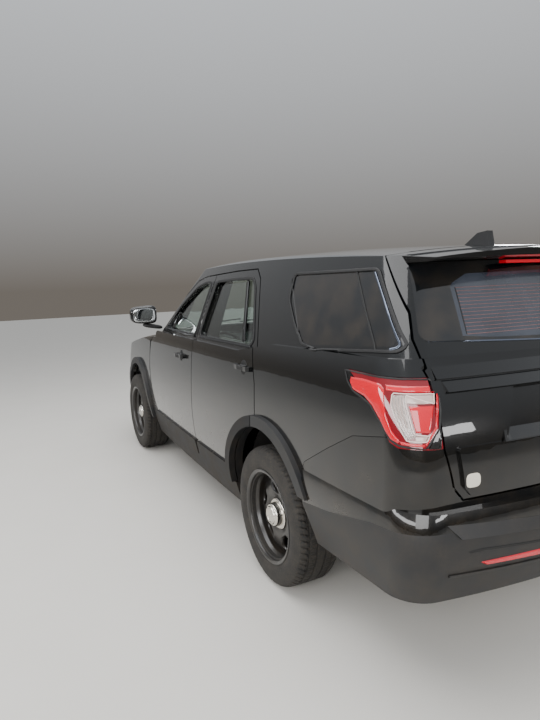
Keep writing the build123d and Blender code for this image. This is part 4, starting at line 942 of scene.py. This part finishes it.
class VEHICLE_OT_side_trim(Operator):
    """Adds the window seals, belt mouldings, pillar trims, the quarter window's ring, and a dark disc of
    painted shade in each handle's hollow
    """

    bl_idname = "vehicle.side_trim"
    bl_label = "Side trim"

    def execute(self, context):
        skin = Skin("left", "door_front_left")
        parts = window_trim(
            skin, "door_front_left", FRONT_WINDOW, [(648, 1222), (200, 1219), (-128, 1219)],
            [(-112, 1232), (-150, 1410), (-190, 1592)], [(-186, 1232), (-206, 1410), (-232, 1592)],
        )
        pane = Skin("left", "door_front_left", "door_glass_front_left")
        sail = slab(pane, [(628, 1236), (424, 1376)], [(478, 1236), (416, 1362)], 12, 30, 14, 6)
        # The handle's hollow is a dark disc of painted shade
        parts += [handle_hollow_shade(skin, 65, 1071), ("gloss_trim", sail)]
        make_pair("window_trim_front_{}", parts, "door_front_{}")

        skin = Skin("left", "door_rear_left", "door_glass_rear_left")
        parts = window_trim(
            skin, "door_rear_left", REAR_WINDOW, [(-236, 1219), (-600, 1219), (-1068, 1222)],
            [(-242, 1592), (-218, 1410), (-192, 1232)], [(-286, 1592), (-262, 1410), (-228, 1232)],
        )
        division = bead(skin, [(-780, 1584), (-820, 1493), (-926, 1244)], 26, 16)
        # The handle's hollow is a dark disc of painted shade
        parts += [("gloss_trim", division), handle_hollow_shade(skin, -1050, 1119)]
        make_pair("window_trim_rear_{}", parts, "door_rear_{}")

        skin = Skin("left", "body_side_left", "quarter_windows")
        parts = [
            ("seal", bead(skin, rounded(QUARTER_RING, 30), 13, 6, closed=True)),
            ("seal", bead(skin, [(-1838, 1600), (-1960, 1444), (-2085, 1298)], 9, 3)),
            ("dark_chrome", bead(skin, rounded(QUARTER_STRIP, 30, closed=False), 10, 6)),
        ]
        make_pair("quarter_trim_{}", parts, "body")
        return {"FINISHED"}


# The body's skin between the front door's slanted foot and the front arch (x, z)
CORNER_REAR = [(812, 404), (910, 545), (1002, 688), (1060, 868)]
CORNER_FRONT = [(1060, 404), (1060, 520), (1065, 640), (1065, 868)]


class VEHICLE_OT_sill_corners(Operator):
    """Closes the body's skin between each front door's foot and the front arch"""

    bl_idname = "vehicle.sill_corners"
    bl_label = "Sill corners"

    def execute(self, context):
        door, wing = Skin("left", "door_front_left"), Skin("left", "front_wings")
        rear, front = resampled(CORNER_REAR, 60), resampled(CORNER_FRONT, 60)
        inside, wing_x, cladding_proud, lift, thickness = 16, 1080.0, 12, 0.6, 9
        rear_up = rear[:, 1] + inside / 2
        rear_out = door.height(rear[:, 0] - inside, rear_up) - cladding_proud * (rear_up < CLADDING_TOP)
        front_out = wing.height(np.full(len(front), wing_x), front[:, 1])
        # Straight across from the door's surface to the wing's, just over the sill's own skin
        t = np.linspace(0, 1, 16)[:, None]
        flat = rear[None] * (1 - t[..., None]) + front[None] * t[..., None]
        out = rear_out[None] * (1 - t) + front_out[None] * t + lift
        top = np.stack([flat[..., 0], out, flat[..., 1]], axis=-1)
        panel = sandwich(top, top - np.array([0, thickness, 0]))
        make_pair("sill_corner_{}", [("paint_low", panel)], "body")
        return {"FINISHED"}


class VEHICLE_OT_bumper_trim(Operator):
    """Adds the rear bumper's ledges, channel, lip and reflectors"""

    bl_idname = "vehicle.bumper_trim"
    bl_label = "Rear bumper trim"

    def execute(self, context):
        skin = Skin("rear", "rear_bumper", "rear_valance")
        parts = []
        for s in (-1, 1):
            back = [(832 * s, 733), (476 * s, 708), (255 * s, 703)]
            front = [(789 * s, 684), (461 * s, 664), (270 * s, 661)]
            points, faces = ruled(skin, back, front, 60, (0.5, 12), 16)
            # The ledge stays inside the bumper's own reach
            points[:, 0] = np.maximum(points[:, 0], CAD_BOX[0][0] / MM)
            parts.append(("cladding", (points, faces)))
        top = across((754, 628), (692, 631), (432, 611), (0, 606))
        foot = across((740, 618), (690, 619), (430, 599), (0, 594))
        parts.append(("seal", slab(skin, top, foot, 8, 120, 2, 4)))
        parts.append(("cladding", bead(skin, across((809, 537), (430, 520), (0, 512)), 10, 6)))
        for s in (-1, 1):
            edges = [(404 * s, 568), (691 * s, 574)], [(404 * s, 541), (664 * s, 556)]
            parts.append(("red_lens", slab(skin, *edges, 8, 40, 4, 4)))
        make_piece("rear_bumper_trim", parts, "body")
        return {"FINISHED"}


class VEHICLE_OT_headlamps(Operator):
    """Fills the headlamps: a dark bezel, two bright bowls with their rings, and a side strip"""

    bl_idname = "vehicle.headlamps"
    bl_label = "Headlamp insides"

    def execute(self, context):
        skin = Skin("front", "headlamps")
        top, foot = [(-872, 955), (-760, 962), (-640, 930)], [(-868, 862), (-760, 838), (-640, 822)]
        parts = [("gloss_trim", slab(skin, top, foot, 10, 40, 0.8, 4))]
        for centre, radius in (((-730, 892), 38), ((-812, 902), 30)):
            parts.append(("bright_flutes", slab(skin, *oval_edges(centre, radius, radius), 14, 33, 5, 12)))
            parts.append(("chrome", bead(skin, circle(centre, radius + 4), 6, 5, closed=True, step=6)))
        strip = slab(skin, [(-690, 850), (-655, 846)], [(-690, 832), (-655, 830)], 8, 12, 3, 3)
        parts.append(("amber_lens", strip))
        # Worked out on the right-hand lamp, and given for the left
        parts = [(finish, mirrored(part)) for finish, part in parts]
        make_pair("headlamp_inside_{}", parts, "body")
        return {"FINISHED"}


class VEHICLE_OT_front_trim(Operator):
    """Adds the grille's surround, the bumper's corner bars and the fog lamps"""

    bl_idname = "vehicle.front_trim"
    bl_label = "Front trim"

    def execute(self, context):
        nose = Skin("front", "front_bumper", "front_wings", "grille")
        surround = across((590, 838), (556, 918), (0, 930)) + across((514, 646), (0, 626))[::-1]
        parts = [("gloss_trim", bead(nose, rounded(surround, 26), 20, 7, closed=True))]
        for s in (-1, 1):
            parts.append(("seal", bead(nose, [(-s * 560, 600), (-s * 700, 560), (-s * 740, 470)], 14, 6)))
        for s in (-1, 1):
            parts.append(("bright_flutes", slab(nose, *oval_edges((690 * s, 520), 44, 40), 14, 33, 6, 12)))
        make_piece("front_trim", parts, "body")
        return {"FINISHED"}


class VEHICLE_OT_wipers(Operator):
    """Lays both wipers on the windscreen: each a blade from elbow to tip under its arm from the pivot"""

    bl_idname = "vehicle.wipers"
    bl_label = "Wipers"

    def execute(self, context):
        glass = Skin("top", "windshield", "cowl")
        parts = []
        for line in (((1052, 640), (1016, 420), (1010, 60)), ((1075, 40), (1050, -160), (1020, -600))):
            pivot, elbow, tip = (np.array(point) for point in line)
            middle = (elbow + tip) / 2
            parts.append(("seal", bead(glass, [elbow, middle, tip], 9, 12, lift=1.0)))
            parts.append(("seal", bead(glass, [pivot, elbow, middle], 14, 9, lift=12.0)))
        make_piece("windscreen_wipers", parts, "body")
        return {"FINISHED"}


def hollowed(unit):
    """Makes a block a mirror shell: flatter behind, rounded off outboard in front, and lower outboard."""
    ahead, out = unit[..., 0].copy(), unit[..., 1]
    unit[..., 0] = np.where(ahead < 0, ahead * 0.72, ahead * (1 - 0.28 * out**2))
    unit[..., 2] *= 1 - 0.1 * out


def leaning(unit):
    """Makes a block rise outboard, as the mirror's foot does."""
    unit[..., 2] += 0.8 * unit[..., 1]


class VEHICLE_OT_mirrors(Operator):
    """Builds the door mirrors: a shell, a foot on the door and a silvered glass in its bezel"""

    bl_idname = "vehicle.mirrors"
    bl_label = "Door mirrors"

    def execute(self, context):
        low, high = (np.array(corner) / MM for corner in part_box("mirror_left"))
        x, y, z = (low[0] + high[0]) / 2 + 4, high[1] - 112, high[2] - 76
        half = (high[0] - x - 1, 110, 74)
        rear_x, glass_y, glass_z = x - 0.72 * half[0], y + 2, z - 2
        angle = around(56)
        out, rise = (np.sign(v) * np.abs(v) ** 0.45 for v in (np.cos(angle), np.sin(angle)))
        rim = np.stack([np.full_like(angle, rear_x), glass_y + 94 * out, glass_z + 59 * rise], axis=-1)
        parts = [
            ("paint", block((x, y, z), half, (4.6, 4.0), shape=hollowed)),
            ("seal", block((x + 4, 948, low[2] + 40), (34, 82, 18), (3.0, 3.0), shape=leaning)),
            ("seal", swept(rim, (-1, 0, 0), bar_profile(7, 5, 2), closed=True)),
            ("mirror", block((rear_x - 2, glass_y, glass_z), (3, 90, 55), (4.0, 4.0), 21, 48)),
        ]
        make_pair("door_mirror_{}", parts, "door_front_{}", ["mirror_{}"])
        return {"FINISHED"}


# Seats: the backs lean back from lying flat by this many degrees
SEAT_LEAN = 107


def pad(centre, half, channels=(), crown=0.3):
    """A stuffed cushion: a superellipsoid crowned on top, its sides pulled in by 5% midway between the
    corners, with sewn channels as narrow valleys 7 mm deep along it, at these offsets across."""

    def stuffed(unit):
        length, width, upper = unit[..., 0].copy(), unit[..., 1].copy(), np.clip(unit[..., 2], 0, 1)
        unit[..., 2] += crown * (1 - length**2) * (1 - width**2) * upper
        unit[..., 0] *= 0.95 + 0.05 * width**2
        unit[..., 1] *= 0.95 + 0.05 * length**2
        for place in channels:
            valley = np.exp(-(((width * half[1] - place) / 7) ** 2))
            unit[..., 2] -= 7 / half[2] * valley * upper
        unit[..., 2] /= 1 + crown

    return block(centre, half, (5.0, 3.4), 61, 140, stuffed)


def leaned(part, pivot, shift):
    """A part leaned back about a line across the vehicle through the pivot (x, z), and then shifted."""
    points, faces = part
    turn = radians(SEAT_LEAN)
    x, z = points[:, 0] - pivot[0], points[:, 2] - pivot[1]
    back = [pivot[0] + x * cos(turn) - z * sin(turn), points[:, 1], pivot[1] + x * sin(turn) + z * cos(turn)]
    return np.stack(back, axis=-1) + np.array(shift), faces


def make_seat(name, parts, replaces=()):
    """One seat in woven cloth."""
    piece = make_piece(name, [("cloth", part) for part in parts], "body", replaces)


class VEHICLE_OT_seats(Operator):
    """Builds the front seats and the rear bench as sewn cushions with bolsters and head restraints"""

    bl_idname = "vehicle.seats"
    bl_label = "Seats"

    def execute(self, context):
        seams = (-110, 110)
        for y, side, replaces in ((380, "left", ["front_seats"]), (-380, "right", [])):
            upright = [pad((-20, y, 600), (290, 200, 62), seams, 0.22)]
            upright += [pad((-20, y + k * 200, 600), (265, 36, 78), (), 0.2) for k in (-1, 1)]
            parts = [
                pad((160, y, 530), (255, 200, 62), seams),
                *(pad((165, y + k * 205, 545), (235, 34, 62), (), 0.2) for k in (-1, 1)),
                *(leaned(part, (-20, 600), (-75, 0, 290)) for part in upright),
                block((-218, y, 1192), (42, 118, 78), (3.0, 3.2)),
            ]
            make_seat(f"front_seat_{side}", parts, replaces)
        seams = (-300, -60, 60, 300)
        back = pad((0, 0, 0), (280, 600, 58), seams, 0.2)
        parts = [
            pad((-590, 0, 545), (240, 600, 68), seams),
            leaned(back, (0, 0), (-872, 0, 860)),
            *(block((-962, y, 1185), (38, 120, 66), (3.0, 3.2)) for y in (-390, 0, 390)),
        ]
        make_seat("rear_bench", parts, ["rear_seat"])
        return {"FINISHED"}


class VEHICLE_OT_finish(Operator):
    """Gives every packed panel its material"""

    bl_idname = "vehicle.finish"
    bl_label = "Panel finishes"

    def execute(self, context):
        make_materials(context.scene.vehicle_finish)
        for part in frame["record"]["subparts"]:
            materials = NODES[part["node"]].data.materials
            materials.clear()
            materials.append(MATERIALS[NODE_FINISH.get(part["node"], SLOT_FINISH[part["material_slot"]])])
        return {"FINISHED"}


# Soft lights: name, place, aim, size in metres and share of the power
LIGHTS = (
    ("overhead", (-0.5, 1.5, 5.5), (0, 0, 0.5), (6.0, 6.0), 1.0),
    ("behind_left", (-6.5, 5.0, 3.2), (-0.8, 0, 0.8), (3.5, 3.5), 0.6),
    ("left_strip", (-1.0, 7.0, 2.3), (0, 0, 1.1), (9.0, 0.7), 0.5),
    ("right_strip", (0.0, -7.0, 2.3), (0, 0, 1.1), (9.0, 0.7), 0.5),
    ("rear_strip", (-8.5, -0.5, 2.6), (-2.0, 0, 1.0), (5.0, 0.7), 0.35),
)
FLOOR_REACH = 30.0


class VEHICLE_OT_stage(Operator):
    """Sets the camera, the floor and the light"""

    bl_idname = "vehicle.stage"
    bl_label = "Stage"

    def execute(self, context):
        scene, settings = context.scene, context.scene.vehicle_stage

        def add_object(name, data):
            placed = bpy.data.objects.new(name, data)
            scene.collection.objects.link(placed)
            return placed

        camera = bpy.data.cameras.new("camera")
        camera.sensor_fit, camera.sensor_height, camera.lens = "VERTICAL", 36, settings.camera_lens
        yaw, pitch, roll = (radians(getattr(settings, f"camera_{turn}")) for turn in ("yaw", "pitch", "roll"))
        ahead = Vector((cos(pitch) * cos(yaw), cos(pitch) * sin(yaw), sin(pitch)))
        right = Vector((sin(yaw), -cos(yaw), 0))
        up = right.cross(ahead)
        right, up = cos(roll) * right + sin(roll) * up, cos(roll) * up - sin(roll) * right
        turn = Matrix((right, up, -ahead)).transposed().to_4x4()
        scene.camera = add_object("camera", camera)
        scene.camera.matrix_world = Matrix.Translation(settings.camera_place) @ turn

        mesh = bpy.data.meshes.new("floor")
        corners = [(x * FLOOR_REACH, y * FLOOR_REACH, 0) for x, y in ((-1, -1), (1, -1), (1, 1), (-1, 1))]
        mesh.from_pydata(corners, [], [(0, 1, 2, 3)])
        patch = (linear("#A9A59D"), 400, 4, 0.3, 0.7, 0.0, 0.08)
        mesh.materials.append(material_of("poured_floor", {"Roughness": 0.85}, settings.floor, [patch]))
        add_object("floor", mesh)

        scene.world = bpy.data.worlds.new("soft_studio")
        scene.world.use_nodes = True
        tree = scene.world.node_tree
        view = add_node(tree, "TexCoord", {}, "Generated")
        height = add_node(tree, "SeparateXYZ", {"Vector": view}, "Z")
        rise = add_node(tree, "MapRange", {"Value": height, **span(0.0, 0.55)})
        sky = add_node(tree, "MixRGB", {"Fac": rise, "Color1": settings.horizon, "Color2": settings.sky})
        fill(tree.nodes["Background"], {"Color": sky, "Strength": 0.9})

        for name, place, aim, size, share in LIGHTS:
            data = bpy.data.lights.new(name, "AREA")
            data.energy = settings.light * share
            data.shape, (data.size, data.size_y) = "RECTANGLE", size
            toward = (Vector(aim) - Vector(place)).to_track_quat("-Z", "Y")
            lamp = add_object(name, data)
            lamp.matrix_world = Matrix.Translation(place) @ toward.to_matrix().to_4x4()
            lamp.visible_camera = False
        return {"FINISHED"}


class VEHICLE_PT_panel(Panel):
    """Lists the vehicle's pieces and settings"""

    bl_label = "Vehicle"
    bl_space_type = "VIEW_3D"
    bl_region_type = "UI"
    bl_category = "Vehicle"

    def draw(self, context):
        for operator in OPERATORS:
            self.layout.operator(operator.bl_idname)
        for group in GROUPS:
            settings = getattr(context.scene, group)
            for name in settings.__annotations__:
                self.layout.prop(settings, name)


OPERATORS = (
    VEHICLE_OT_finish, VEHICLE_OT_wheels, VEHICLE_OT_tail_lamps, VEHICLE_OT_gate_bar, VEHICLE_OT_rear_glass,
    VEHICLE_OT_sticker, VEHICLE_OT_side_trim, VEHICLE_OT_sill_corners, VEHICLE_OT_bumper_trim,
    VEHICLE_OT_headlamps, VEHICLE_OT_front_trim, VEHICLE_OT_wipers, VEHICLE_OT_mirrors, VEHICLE_OT_seats,
    VEHICLE_OT_stage,
)
GROUPS = {
    "vehicle_finish": VehicleFinish, "vehicle_wheels": VehicleWheels, "vehicle_lamps": VehicleLamps,
    "vehicle_stage": VehicleStage,
}


def register():
    for item in (*GROUPS.values(), *OPERATORS, VEHICLE_PT_panel):
        bpy.utils.register_class(item)
    for name, group in GROUPS.items():
        setattr(bpy.types.Scene, name, PointerProperty(type=group))


def unregister():
    for name in GROUPS:
        delattr(bpy.types.Scene, name)
    for item in (VEHICLE_PT_panel, *reversed(OPERATORS), *GROUPS.values()):
        bpy.utils.unregister_class(item)


def main():
    register()
    for operator in OPERATORS:
        family, name = operator.bl_idname.split(".")
        getattr(getattr(bpy.ops, family), name)()


if __name__ == "__main__":
    main()
